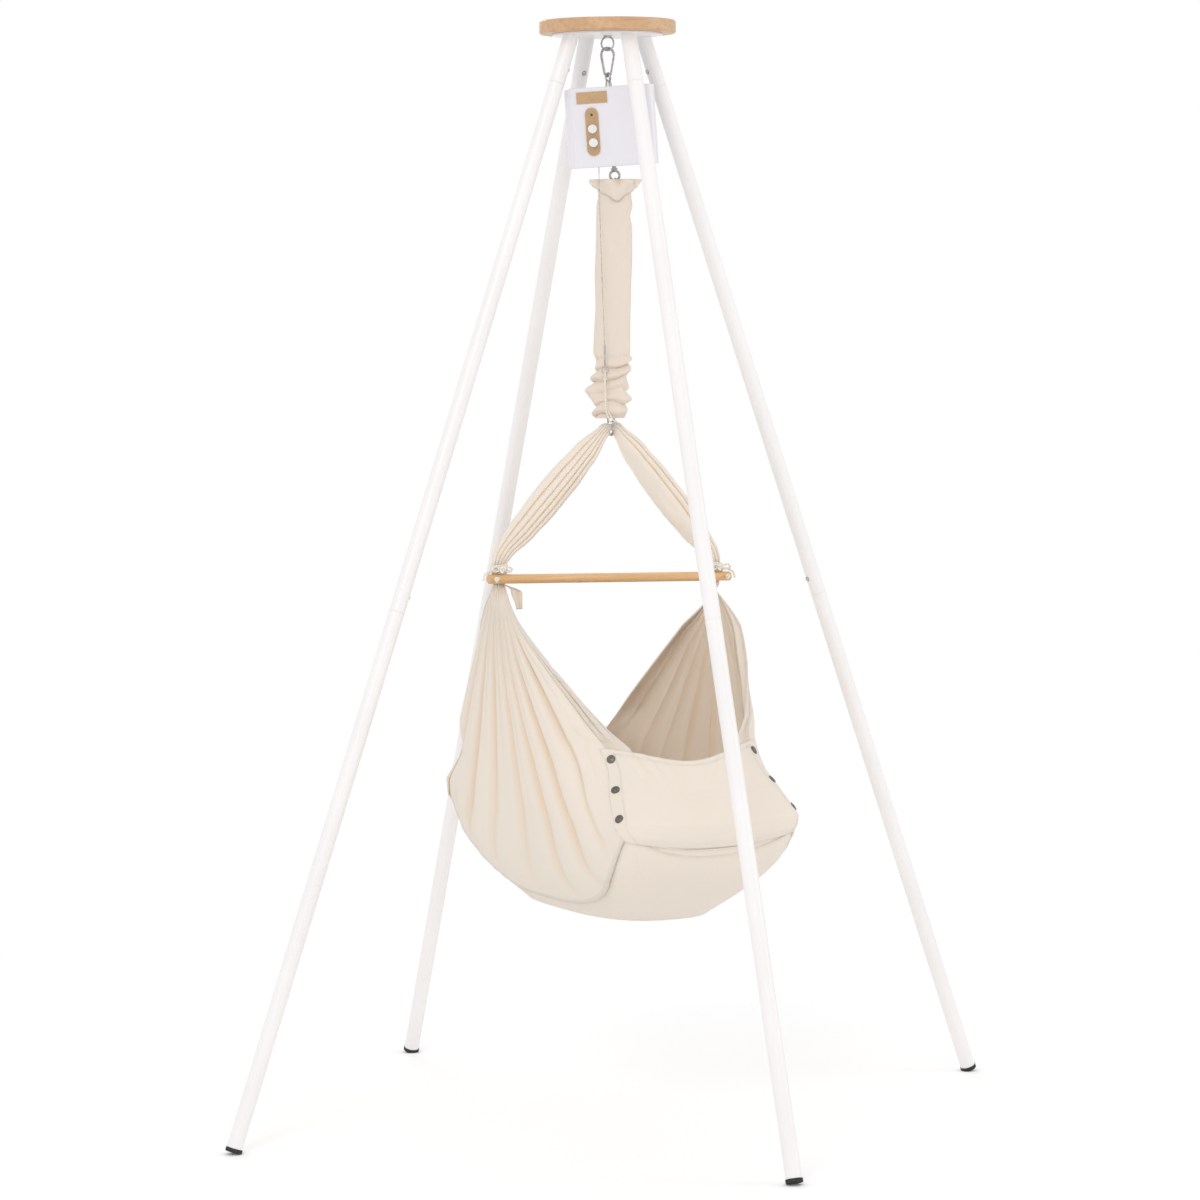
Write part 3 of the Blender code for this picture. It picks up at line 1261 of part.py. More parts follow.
def build_fan(name, sign):
    """One side of the cradle: pleated cloth that fans out from behind the bar's end to the hem."""
    tie = tie_point(sign)
    outline = along_path(fan_outline(), FAN_COLUMNS)
    reach, gather_z = wall_top()
    drop = tie.z - BAR_CENTRE[2]
    grid = []
    behind = []
    for c in range(FAN_COLUMNS + 1):
        spread = TIE_HALF_WIDTH * (2 * c / FAN_COLUMNS - 1)
        behind.append(Vector((tie.x + sign * spread, BAR_R + FAN_SEAT_GAP + CLOTH / 2, tie.z - SEAT_GAP)))
    grid.append(behind)
    for s in FAN_ROWS:
        blend = clamp(3.5 * s)
        row = []
        for c, (by, bz) in enumerate(outline):
            share = c / FAN_COLUMNS
            gy = FAN_GATHER[0] + (FAN_GATHER[1] - FAN_GATHER[0]) * share
            y = gy + (by - gy) * s
            z = gather_z + (bz - gather_z) * s
            depth = FAN_PLEAT_DEPTH * math.sin(math.pi * min(1.0, 0.02 + 0.85 * s)) * clamp((s - 0.13) / 0.25)
            pleat = depth * uncovered(y, z) * (0.5 - 0.5 * math.cos(2 * math.pi * FAN_PLEATS * share))
            stand_off = CLOTH_GAP if s == 1.0 else FAN_STAND_OFF
            wall = wall_point(y, z, stand_off + CLOTH / 2 + pleat * (0.4 if s == 1.0 else 1.0))
            gathered = Vector((reach + TIE_HALF_WIDTH * (2 * share - 1) * 0.85, y, z))
            point = gathered.lerp(wall, blend)
            shift = (abs(tie.x) - reach) * (1 - blend)
            row.append(Vector((sign * (point.x + shift), point.y, point.z + drop * (1 - blend))))
        grid.append(row)
    offsets = grid_normals(grid, CLOTH / 2, outward=lambda p: Vector((sign, 0.02, 0)))
    for c in range(FAN_COLUMNS + 1):
        offsets[0][c] = Vector((0, -CLOTH / 2, 0))
    add_object(name, sheet(name, grid, offsets), cotton())


def tub_angle(turn, arcs):
    """The end and the angle from its middle, for a share of the way round the tub from the foot's middle."""
    quarter, share = int(turn * 4), turn * 4 % 1
    end = 1 if quarter in (1, 2) else -1
    angle = plan_angle(arcs[end], share if quarter in (0, 2) else 1 - share)
    return end, angle if quarter < 2 else -angle


def build_tub():
    """The bottom shell that carries the mattress."""
    columns = 36
    heights = [1.0, 0.80, 0.55, 0.30, 0.10, 0.0]
    grid, offsets = [], []
    for h in heights:
        z = TUB_BOTTOM_Z + (TUB_RIM_Z - TUB_BOTTOM_Z) * h - (0.0002 if h == 1.0 else 0)
        row, push = [], []
        arcs = {end: plan_arc(plan_shape(z, end), math.pi / 2) for end in (-1, 1)}
        for c in range(columns):
            end, angle = tub_angle((c + 0.5) / columns, arcs)
            point, way = plan_point(plan_shape(z, end), angle, end, -CLOTH / 2)
            row.append(point + Vector((0, 0, z)))
            push.append(way * (CLOTH / 2))
        grid.append(row)
        offsets.append(push)
    for share in (0.86, 0.45):
        grid.append([Vector((p.x * share, p.y * share, TUB_BOTTOM_Z)) for p in grid[len(heights) - 1]])
        offsets.append([Vector((0, 0, -CLOTH / 2)) for _ in range(columns)])
    bend = len(heights) - 1
    offsets[bend] = [(way + Vector((0, 0, -CLOTH / 2))) * 0.75 for way in offsets[bend]]
    mesh = sheet("bottom_shell", grid, offsets, around=True)
    close_tub_floor(mesh, columns, len(grid))
    add_object("bottom_shell", mesh, cotton())


def close_tub_floor(mesh, columns, rows):
    """Takes away the small ring left round the middle of the floor and closes both its sides."""
    work = bmesh.new()
    work.from_mesh(mesh)
    work.verts.ensure_lookup_table()
    outer = [work.verts[(rows - 1) * columns + c] for c in range(columns)]
    inner = [work.verts[rows * columns + (rows - 1) * columns + c] for c in range(columns)]
    rim = set(outer) | set(inner)
    ring = [f for f in work.faces if all(v in rim for v in f.verts)]
    bmesh.ops.delete(work, geom=ring, context="FACES_ONLY")
    bmesh.ops.delete(work, geom=[e for e in work.edges if not e.link_faces], context="EDGES")
    work.faces.new(outer)
    work.faces.new(list(reversed(inner)))
    turn_outwards(work)
    work.to_mesh(mesh)
    work.free()


def panel_limit(z, end):
    """The angle at which an end panel's side border lies at a height."""
    border = PANEL_BORDER[end]
    y = border[-1][0] if z > border[0][1] else border[0][0]
    for (y0, z0), (y1, z1) in zip(border, border[1:]):
        if z0 <= z <= z1:
            y = y0 + (y1 - y0) * (z - z0) / (z1 - z0)
    _, reach, square = plan_shape(z, end)
    return math.acos(min(y / reach, 1.0) ** (square / 2))


def end_panel(end, top_z, dip):
    """Middle surface of an end panel, a sheet across the end that wraps round the fans' edges."""
    columns, rows = 36, 6
    layer = FAN_STAND_OFF + PANEL_GAP[end] + 1.5 * CLOTH
    grid = []
    for r in range(rows + 1):
        row = []
        for c in range(columns + 1):
            share = 2 * c / columns - 1
            high = top_z - dip * math.cos(share * math.pi / 2) ** 2
            z = PANEL_LOW_Z + (high - PANEL_LOW_Z) * r / rows
            shape = plan_shape(z, end)
            angle = plan_angle(plan_arc(shape, panel_limit(z, end)), abs(share))
            point, _ = plan_point(shape, math.copysign(angle, share), end, layer)
            row.append(point + Vector((0, 0, z)))
        grid.append(row)
    return grid


def outward_from_axis(point):
    return Vector((point.x, point.y, 0))


def build_end_panels():
    for name, end, top_z, dip in (("foot_apron", -1, APRON_TOP_Z, APRON_DIP), ("head_panel", 1, HEAD_TOP_Z, HEAD_DIP)):
        grid = end_panel(end, top_z, dip)
        offsets = grid_normals(grid, CLOTH / 2, outward=outward_from_axis)
        panel = add_object(name, sheet(name, grid, offsets), cotton())
        if end < 0:
            add_press_studs(panel, grid)


def add_press_studs(apron, grid):
    """Six press studs riveted through the apron's wrapped sides."""
    rows, columns = len(grid) - 1, len(grid[0]) - 1
    sunk = CLOTH * 0.6
    profile = [(0, -sunk), (STUD_R * 0.5, -sunk), (STUD_R * 0.5, 0.0005), (STUD_R, 0.0005),
               (STUD_R * 0.85, STUD_THICKNESS), (0, STUD_THICKNESS)]
    for sign in (-1, 1):
        for k, height in enumerate(STUD_HEIGHTS):
            line = grid[round(rows * height)]
            half = sum((b - a).length for a, b in zip(line, line[1:])) / 2
            column = columns * (0.5 + 0.5 * sign * (1 - STUD_FROM_EDGE / half))
            spot, way = surface_place(grid, rows * height, column)
            turn = way.to_track_quat("Z", "Y").to_matrix().to_4x4()
            name = f"stud_{'left' if sign < 0 else 'right'}_{k}"
            place = Matrix.Translation(spot + way * (CLOTH / 2)) @ turn
            boolean(apron, cutter(name, revolve(name, profile, 10), place), "UNION")


def surface_place(grid, r, c):
    """A point on a grid and the outward normal there."""
    r0, c0 = min(int(r), len(grid) - 2), min(int(c), len(grid[0]) - 2)
    u, v = r - r0, c - c0
    a, b = grid[r0][c0], grid[r0][c0 + 1]
    d, e = grid[r0 + 1][c0], grid[r0 + 1][c0 + 1]
    spot = a * (1 - u) * (1 - v) + b * (1 - u) * v + d * u * (1 - v) + e * u * v
    way = (b - a).cross(d - a).normalized()
    if way.dot(outward_from_axis(spot)) < 0:
        way = -way
    return spot, way


def build_mattress():
    """The mattress, crowned on top and drawn in at its edges."""
    floor = TUB_BOTTOM_Z + CLOTH / 2 + SEAT_GAP
    rings = []
    for height, share in ((0.0, 0.72), (0.25, 0.90), (0.5, 1.0), (0.8, 0.97), (0.96, 0.88), (1.06, 0.66), (1.12, 0.34)):
        shape = (MATTRESS_HALF[0] * share, MATTRESS_HALF[1] * (1 - (1 - share) * 0.5), 3.4)
        ring = []
        for c in range(28):
            angle = 2 * math.pi * (c + 0.5) / 28
            point, _ = plan_point(shape, angle, -1 if math.cos(angle) > 0 else 1)
            ring.append(point + Vector((0, 0, floor + MATTRESS_THICKNESS * height)))
        rings.append(ring)
    add_object("mattress", smooth(loft("mattress", rings), 50), cotton())


def strap_path(sign):
    """Middle line of a strap, from behind the bar up over the apex hook's lower bow."""
    tie = tie_point(sign)
    bow_inside = APEX_HOOK_TOP_Z - HOOK_HEIGHT + HOOK_WIRE_R
    rise = APEX_HOOK_BOTTOM_R - HOOK_WIRE_R
    room = STRAP_APEX_THICKNESS / 2 + SEAT_GAP
    seat = bow_inside + rise - math.sqrt(rise ** 2 - room ** 2)
    end_z = seat + SEAT_GAP + STRAP_APEX_HALF_HEIGHT
    low = Vector((tie.x, tie_back_y(), tie.z + SEAT_GAP))
    high = Vector((sign * SEAT_GAP / 2, 0, end_z))
    stops = [low, low + Vector((0, 0, 0.021)), low + Vector((-sign * 0.013, -0.001, 0.050))]
    start = stops[-1]
    knee = high + Vector((sign * 0.0070, 0, -0.0012))
    before = high + Vector((sign * 0.0150, 0, -0.0070))
    for t in (0.2, 0.4, 0.6, 0.8):
        stops.append(start.lerp(before, t))
    return stops + [before, knee, high]


def build_strap(name, sign):
    """Gathered cloth from the bar's end up to the apex, with long folds."""
    stops = strap_path(sign)
    columns = 16
    halves = [TIE_HALF_WIDTH, TIE_HALF_WIDTH * 1.05, STRAP_HALF_WIDTH * 0.82, STRAP_HALF_WIDTH * 0.97,
              STRAP_HALF_WIDTH, STRAP_HALF_WIDTH * 0.86, STRAP_HALF_WIDTH * 0.55, STRAP_APEX_HALF_HEIGHT * 1.35,
              STRAP_APEX_HALF_HEIGHT, STRAP_APEX_HALF_HEIGHT]
    grid, offsets = [], []
    for r, point in enumerate(stops):
        ahead = stops[min(r + 1, len(stops) - 1)] - stops[max(r - 1, 0)]
        if r in (0, len(stops) - 1):
            ahead = Vector((0, 0, 1)) if r == 0 else Vector((-sign, 0, 0))
        wide = Vector((ahead.z, 0, -ahead.x)).normalized()
        full = max(0.0, (halves[r] - TIE_HALF_WIDTH) / (STRAP_HALF_WIDTH - TIE_HALF_WIDTH))
        nearness = max(0, r - 5) / (len(stops) - 6)
        thick = STRAP_THICKNESS + (STRAP_APEX_THICKNESS - STRAP_THICKNESS) * nearness
        row, push = [], []
        for c in range(columns + 1):
            share = c / columns
            fold = STRAP_FOLD_DEPTH * 0.5 * math.cos(2 * math.pi * STRAP_FOLDS * share + math.pi) * full
            bow = 0.008 * full * math.cos(math.pi * (share - 0.5))
            row.append(point + wide * (halves[r] * (2 * share - 1)) + Vector((0, fold - bow, 0)))
            push.append(Vector((0, thick / 2, 0)))
        grid.append(row)
        offsets.append(push)
    add_object(name, sheet(name, grid, offsets), cotton())


def build_bar_cords():
    """A cord at each end of the bar: knotted in front, through the bar, and round the gathered cloth."""
    for name, sign in (("bar_cord_left", -1), ("bar_cord_right", 1)):
        knot = [(0.0115, -0.0145, 0), (0.0115, -0.0140, 0), (0.0115, -0.0108, 0), (0.0115, -0.0103, 0)]
        stops = [(0.0115, 0.0110, 0), (0.0080, 0.0160, 0.0050), (0.0115, 0.0205, 0.0115),
                 (0.0270, 0.0215, 0.0140), (0.0430, 0.0200, 0.0145), (0.0470, 0.0130, 0.0145),
                 (0.0430, 0.0055, 0.0145), (0.0270, 0.0035, 0.0145), (0.0120, 0.0040, 0.0145),
                 (0.0030, 0.0030, 0.0130), (-0.0065, 0.0010, 0.0080), (-0.0100, -0.0015, -0.0030)]
        knot, stops = ([bar_place() @ Vector((sign * (BAR_LENGTH / 2 - d), y, z)) for d, y, z in part]
                       for part in (knot, stops))
        points = knot + smooth_route(stops, 2)
        factors = [1.4, KNOT_FACTOR, KNOT_FACTOR, 1.0] + [1.0] * (len(points) - 4)
        wire(name, points, CORD_R, cream_cord(), factors=factors)


def build_cable_cord(ring_centre):
    """The loop of cord from the key ring, down past the sleeve and round the apex hook's spine."""
    near = Vector((math.sin(BOX_AZIMUTH), -math.cos(BOX_AZIMUTH), 0))
    low_wire = ring_centre - Vector((0, 0, KEY_RING_R))
    half = KEY_RING_WIRE_R + CABLE_CORD_R + SEAT_GAP
    spine_y = -HOOK_TOP_R + 0.0024
    round_spine = [Vector((x, y, APEX_HOOK_TOP_Z - below)) for x, y, below in (
        (-0.0225, -0.0262, 0.0050), (-0.0135, -0.0225, 0.0245), (-0.0050, spine_y - 0.0010, 0.0255),
        (0, spine_y + 0.0048, 0.0258), (0.0050, spine_y - 0.0020, 0.0255), (-0.0045, -0.0240, 0.0250),
        (-0.0180, -0.0252, 0.0050))]
    down = Vector((0, 0, -0.030))
    stops = [low_wire + Vector((0, 0, half)), low_wire + near * half, low_wire + near * 0.0022 + down]
    stops += round_spine + [low_wire - near * 0.0018 + down, low_wire - near * half]
    loop = stops[-2:] + stops + stops[:1]
    points = smooth_route(loop, 3)
    points = points[6:len(points) - 1]
    wire("cable_cord", points, CABLE_CORD_R, cream_cord(), closed=True)


def build_apex():
    frame = add_empty("apex_frame", at(0, 0, APEX_HOOK_TOP_Z) @ turned("Z", math.pi / 2))
    build_snap_hook("apex_hook", frame, APEX_HOOK_BOTTOM_R)


def main():
    remove_scene_objects()
    frames = build_legs()
    build_top_plate(frames)
    build_top_disc()
    build_eye_bolt()
    hook_frame = add_empty("top_hook_frame", at(0, 0, top_hook_z()))
    build_snap_hook("top_hook", hook_frame, TOP_HOOK_BOTTOM_R)
    motor = add_empty("motor_frame", motor_place())
    build_swivel_eye(motor)
    halves = build_casing(motor)
    build_motor_front_trim(motor, halves["motor_front"])
    build_motor_inside(motor, halves["motor_front"], halves["motor_back"])
    build_lift_rod(motor)
    build_spring()
    build_sleeve()
    build_spreader_bar()
    build_apex()
    ring_centre = build_safety_cable()
    build_bar_cords()
    build_cable_cord(ring_centre)
    build_strap("strap_left", -1)
    build_strap("strap_right", 1)
    build_fan("fan_left", -1)
    build_fan("fan_right", 1)
    build_tub()
    build_end_panels()
    build_mattress()


main()
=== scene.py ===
from math import acos, atan2, copysign, cos, exp, pi, radians, sin, tau

import bpy
from mathutils import Matrix, Vector, noise


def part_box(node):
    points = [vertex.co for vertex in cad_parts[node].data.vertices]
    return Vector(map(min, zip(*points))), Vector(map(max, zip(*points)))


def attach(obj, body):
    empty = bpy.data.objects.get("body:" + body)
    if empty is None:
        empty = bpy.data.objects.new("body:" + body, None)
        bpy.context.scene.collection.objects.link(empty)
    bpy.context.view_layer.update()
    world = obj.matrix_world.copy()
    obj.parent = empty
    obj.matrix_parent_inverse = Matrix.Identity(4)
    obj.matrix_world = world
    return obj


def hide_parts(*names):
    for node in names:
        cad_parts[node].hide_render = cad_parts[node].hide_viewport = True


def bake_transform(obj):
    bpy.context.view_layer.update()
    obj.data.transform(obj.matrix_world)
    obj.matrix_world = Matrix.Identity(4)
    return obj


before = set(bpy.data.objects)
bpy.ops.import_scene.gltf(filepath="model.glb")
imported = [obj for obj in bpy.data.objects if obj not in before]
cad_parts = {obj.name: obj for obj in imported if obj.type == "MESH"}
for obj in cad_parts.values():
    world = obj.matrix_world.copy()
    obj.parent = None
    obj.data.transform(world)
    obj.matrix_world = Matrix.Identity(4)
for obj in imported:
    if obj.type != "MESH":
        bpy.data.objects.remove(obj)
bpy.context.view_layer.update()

# The looks of the baby spring cradle, in metres: +Z up, X along the spreader bar, -Y the foot end.
LAYER = 0.0018
HEM_RISE = 0.0008
STITCH, STITCH_INSET = 0.002, 0.0022
# Painted shade in the cloth's creases: the crease tone as shares of the cloth's colour
CREASE_SHADE = (0.91, 0.78, 0.64)


def vec(*parts):
    return Vector(parts)


def up(z):
    return vec(0, 0, z)


# The bar, the ties and the cradle's plan, as in the CAD part
BAR_R = 0.00875
BAR_LENGTH = 0.504
BAR_CENTRE = vec(-0.003, 0.0, 0.9998)
BAR_TILT = radians(1.5)
BAR_HOLE_FROM_END = 0.0115
TIE_FROM_END = 0.027
TIE_X = BAR_LENGTH / 2 - TIE_FROM_END
TIE_HALF = 0.012
GATHER_Z = BAR_CENTRE.z - 0.015
RIM_Z, FLOOR_Z = 0.565, 0.392
HALF_WIDTH = 0.18
NARROWING, SHORTENING = 0.34, 0.4
END_REACH = {-1: ((0.585, 0.398), (0.71, 0.285)), 1: ((0.6, 0.388), (0.687, 0.345))}
FLOOR_SQUARE = 2.8
RIM_SQUARE = {-1: 12.0, 1: 9.0}
TOP_SQUARE = {-1: 3.6, 1: 4.2}
FAN_FRONT = ((-0.276, 0.71), (-0.384, 0.574))
FAN_BACK = ((0.322, 0.68), (0.358, 0.6))
HEM_LOW_Z = 0.414
APRON_TOP, HEAD_TOP = 0.712, 0.68
PANEL_BORDER = {-1: ((0.378, 0.553), (0.35, 0.598), (0.303, 0.644), (0.246, 0.712)),
                1: ((0.362, 0.557), (0.34, 0.6), (0.3, 0.68))}
STUD_FROM_BORDER, STUD_FOOT_Z = 0.0135, 0.557
STUD_HEIGHTS = (0.885, 0.56, 0.265)
APRON_DIP = 0.026
SEAM_LOW, SEAM_SIDE = 0.54, 0.56
SAG = 0.013
PAD_HALF, PAD_SQUARE, QUILT = (0.122, 0.252), 3.4, 0.055
# Painted shade on the cloth's inner skin: the least share of the crease shade laid all over it
INNER_SKIN_SHADE = 0.3

# The spring's hooks, the apex and the motor box
SPRING_TOP = vec(0.0131, 0.0, 1.7379)
SPRING_BOTTOM = vec(0.0, 0.0, 1.3107)
BOX_AZIMUTH = radians(-27)
ACROSS = vec(cos(BOX_AZIMUTH), sin(BOX_AZIMUTH), 0)
NEAR = vec(sin(BOX_AZIMUTH), -cos(BOX_AZIMUTH), 0)
SLEEVE_TOP, BUNCH_TOP, SLEEVE_LOW = 1.734, 1.415, 1.296
SLEEVE_LAYER = 0.0012
WIRE_R = 0.0008


def clamp(value):
    return min(max(value, 0.0), 1.0)


def ease(start, end, value):
    t = clamp((value - start) / (end - start))
    return t * t * (3 - 2 * t)


def waver(x, y, z):
    return noise.noise(vec(x, y, z))


def mix(a, b, t):
    return a + (b - a) * t


def bell(value, middle, width):
    return exp(-((value - middle) / width) ** 2)


def arc(points):
    lengths = [0.0]
    for a, b in zip(points, points[1:]):
        lengths.append(lengths[-1] + (b - a).length)
    return lengths


def heading(line, k, around=False):
    """From the point before place k of a line, or of a ring, to the one after it."""
    if around:
        return line[(k + 1) % len(line)] - line[k - 1]
    return line[min(k + 1, len(line) - 1)] - line[max(k - 1, 0)]


def grid_of(rows, columns, point):
    """Rows of points, from a function of the shares of the rows and of the columns."""
    return [[point(r / rows, c / columns) for c in range(columns + 1)] for r in range(rows + 1)]


def smooth_route(stops, per_span):
    """A Catmull-Rom line through the stops."""
    stops = [Vector(s) for s in stops]
    line = [stops[0] * 2 - stops[1], *stops, stops[-1] * 2 - stops[-2]]
    out = []
    for a, b, c, d in zip(line, line[1:], line[2:], line[3:]):
        for k in range(per_span):
            t = k / per_span
            out.append(0.5 * ((2 * b) + (c - a) * t + (2 * a - 5 * b + 4 * c - d) * t * t
                              + (3 * b - a - 3 * c + d) * t ** 3))
    return out + [stops[-1]]


# Materials

def shade(colour, share):
    return tuple(v * share for v in colour)


class Nodes:
    """Short ways to add nodes to a tree."""

    def __init__(self, tree):
        self.tree = tree

    def node(self, kind, **inputs):
        made = self.tree.nodes.new("ShaderNode" + kind)
        self.fill(made, inputs)
        return made

    def fill(self, node, inputs):
        for key, value in inputs.items():
            self.feed(node.inputs[key.replace("_", " ")], value)

    def feed(self, socket, value):
        if isinstance(value, bpy.types.NodeSocket):
            self.tree.links.new(value, socket)
        else:
            socket.default_value = value

    def math(self, operation, *values):
        made = self.node("Math")
        made.operation = operation
        for k, value in enumerate(values):
            self.feed(made.inputs[k], value)
        return made.outputs[0]

    def plus(self, a, b):
        return self.math("ADD", a, b)

    def times(self, a, b):
        return self.math("MULTIPLY", a, b)

    def between(self, value, low, high, to_low=0.0, to_high=1.0):
        return self.node("MapRange", Value=value, From_Min=low, From_Max=high, To_Min=to_low,
                         To_Max=to_high).outputs[0]

    def show(self, share, first, second):
        """Puts a mix of two shaders on the surface."""
        both = self.node("MixShader", Fac=share)
        for socket, shader in ((both.inputs[1], first), (both.inputs[2], second)):
            self.feed(socket, shader.outputs[0])
        self.feed(self.tree.nodes["Material Output"].inputs["Surface"], both.outputs[0])

    def seen(self):
        """One for camera, reflected and transmitted rays, which meet a white room."""
        path = self.node("LightPath")
        total = path.outputs["Is Camera Ray"]
        for other in ("Is Glossy Ray", "Is Transmission Ray"):
            total = self.math("MAXIMUM", total, path.outputs[other])
        return total


class Finish(Nodes):
    """A Principled material."""

    def __init__(self, name, colour, roughness, metallic=0.0, coat=0.0, sheen=0.0):
        self.material = bpy.data.materials.new(name)
        self.material.use_nodes = True
        super().__init__(self.material.node_tree)
        self.shader = self.tree.nodes["Principled BSDF"]
        self.use(Base_Color=(*colour, 1), Roughness=roughness, Metallic=metallic, Coat_Weight=coat,
                 Sheen_Weight=sheen, Coat_Roughness=0.12, Sheen_Roughness=0.45)
        self.material.diffuse_color = (*colour, 1)

    def coordinates(self, scale=(1, 1, 1)):
        return self.node("Mapping", Vector=self.node("TexCoord").outputs["Object"], Scale=scale).outputs[0]

    def noise(self, where, scale, detail=2.0, roughness=0.5, distortion=0.0):
        return self.node("TexNoise", Vector=where, Scale=scale, Detail=detail, Roughness=roughness,
                         Distortion=distortion).outputs[0]

    def attribute(self, name):
        made = self.node("Attribute")
        made.attribute_name = name
        return made.outputs["Fac"]

    def blend(self, factor, a, b):
        made = self.node("Mix")
        made.data_type = "RGBA"
        self.feed(made.inputs[0], factor)
        for socket, value in ((made.inputs[6], a), (made.inputs[7], b)):
            self.feed(socket, value if isinstance(value, bpy.types.NodeSocket) else (*value, 1))
        return made.outputs[2]

    def uv(self):
        return self.node("SeparateXYZ", Vector=self.node("TexCoord").outputs["UV"]).outputs

    def tinge(self, tint, mask, amount, colour):
        """Lays a share of another colour over a tint where the mask is."""
        return self.blend(self.times(mask, amount), tint, colour)

    def bump(self, height, distance, strength=1.0, under=None):
        made = self.node("Bump", Height=height, Distance=distance, Strength=strength)
        if under is not None:
            self.feed(made.inputs["Normal"], under)
        return made.outputs[0]

    def use(self, **sockets):
        self.fill(self.shader, sockets)
        return self.material


def painted(name, colour, roughness, grain=1500, depth=0.00005, coat=0.0):
    """Powder coat or moulded plastic: a fine skin, faint clouding, small scuffs and slightly uneven gloss."""
    f = Finish(name, colour, roughness, coat=coat)
    where = f.coordinates()
    cloud = f.between(f.noise(where, 5.0, 3.0), 0.35, 0.65)
    scuffs = f.between(f.noise(where, 38.0, 6.0, 0.7), 0.66, 0.74)
    tint = f.tinge(f.blend(cloud, colour, shade(colour, 0.965)), scuffs, 0.1, shade(colour, 0.8))
    gloss = f.between(f.noise(where, 22.0, 4.0), 0.3, 0.7, roughness * 0.85, roughness * 1.2)
    return f.use(Base_Color=tint, Roughness=gloss, Normal=f.bump(f.noise(where, grain), depth, 0.6))


def metal(name, colour, roughness, grain=(900, 900, 120), dark=0.55):
    """Drawn or cast steel: fine lines, dull spots and a darker film in patches."""
    f = Finish(name, colour, roughness, metallic=1.0)
    lines = f.noise(f.coordinates(grain), 1.0, 3.0, 0.6)
    film = f.between(f.noise(f.coordinates(), 140.0, 5.0, 0.65), 0.42, 0.68)
    gloss = f.between(lines, 0.3, 0.7, roughness * 0.7, roughness * 1.5)
    return f.use(Base_Color=f.blend(film, colour, shade(colour, dark)), Roughness=gloss,
                 Normal=f.bump(lines, 0.00006, 0.5))


def wood(name, light, dark, roughness=0.42, squeeze=(9, 150, 150)):
    """Beech: long grain with darker flecks and faint growth bands, along X."""
    f = Finish(name, light, roughness, coat=0.15)
    grain = f.noise(f.coordinates(squeeze), 1.0, 6.0, 0.62, 0.35)
    flecks = f.noise(f.coordinates(shade(squeeze, 6.5)), 1.0)
    bands = f.noise(f.coordinates((2.0, 34, 34)), 1.0, 2.0, 0.5, 0.8)
    tint = f.blend(f.between(grain, 0.34, 0.68), light, dark)
    tint = f.tinge(tint, f.between(bands, 0.4, 0.62), 0.35, shade(dark, 0.86))
    tint = f.tinge(tint, f.between(flecks, 0.6, 0.7), 0.55, shade(dark, 0.62))
    height = f.plus(f.times(grain, 0.6), f.times(flecks, 0.4))
    gloss = f.between(grain, 0.3, 0.7, roughness * 0.85, roughness * 1.25)
    return f.use(Base_Color=tint, Roughness=gloss, Normal=f.bump(height, 0.0002, 0.5))


def cloth(name, colour, cell=(0.0046, 0.0034), depth=0.00035, weave_shade=0.91):
    """Woven cotton: a diamond weave from UVs in metres, hems and creases from the mesh's attributes, with
    painted shade in the weave's hollows, the hem grooves and the creases.
    """
    f = Finish(name, colour, 0.92, sheen=0.18)
    uv = f.uv()
    wobble = f.between(f.noise(f.coordinates(), 60.0, 1.0), 0.0, 1.0, -0.5, 0.5)
    u, v = (f.plus(f.times(uv[k], tau / cell[k]), wobble) for k in (0, 1))
    weave = f.times(f.math("SINE", f.plus(u, v)), f.math("SINE", f.math("SUBTRACT", u, v)))
    weave = f.math("MULTIPLY_ADD", weave, 0.5, 0.5)
    thread = f.noise(f.coordinates(), 1900.0, 2.0, 0.6)
    slub = f.between(f.noise(f.coordinates((90, 90, 900)), 1.0), 0.62, 0.72)
    cloud = f.between(f.noise(f.coordinates(), 7.0, 3.0), 0.35, 0.7)
    # Painted shade: the weave's hollows, low in its bump, take a darker, warmer tone
    deep = tuple(c * weave_shade * k for c, k in zip(colour, (1.0, 0.97, 0.93)))
    tint = f.blend(f.between(weave, 0.1, 0.75), deep, colour)
    tint = f.tinge(tint, slub, 0.25, shade(colour, 0.84))
    tint = f.tinge(tint, cloud, 0.3, shade(colour, 0.93))
    edge = f.attribute("hem")
    dash = f.between(f.math("PINGPONG", f.attribute("run"), STITCH), 0.0003, 0.0006)
    stitch = f.times(f.math("COMPARE", edge, -STITCH_INSET, 0.0006), dash)
    groove = f.math("COMPARE", edge, -STITCH_INSET, 0.0016)
    # Painted shade in the hem's sunk stitch groove
    tint = f.tinge(tint, groove, 0.22, shade(colour, 0.72))
    tint = f.tinge(tint, stitch, 0.8, tuple(min(1.0, c * 1.06) for c in colour))
    # Painted shade: a darker, warmer tone laid in the creases, deepest in sharp valleys
    crease_shade = tuple(c * w for c, w in zip(colour, CREASE_SHADE))
    tint = f.tinge(tint, f.attribute("fold"), 0.85, crease_shade)
    height = f.plus(f.times(weave, 0.75), f.times(thread, 0.35))
    fine = f.bump(height, depth, 0.9)
    seam = f.math("SUBTRACT", f.times(stitch, 0.6), f.times(groove, 0.5))
    f.use(Base_Color=tint, Normal=f.bump(seam, 0.0006, 0.8, fine))
    f.show(0.12, f.shader, f.node("BsdfTranslucent", Color=tint))
    return f.material


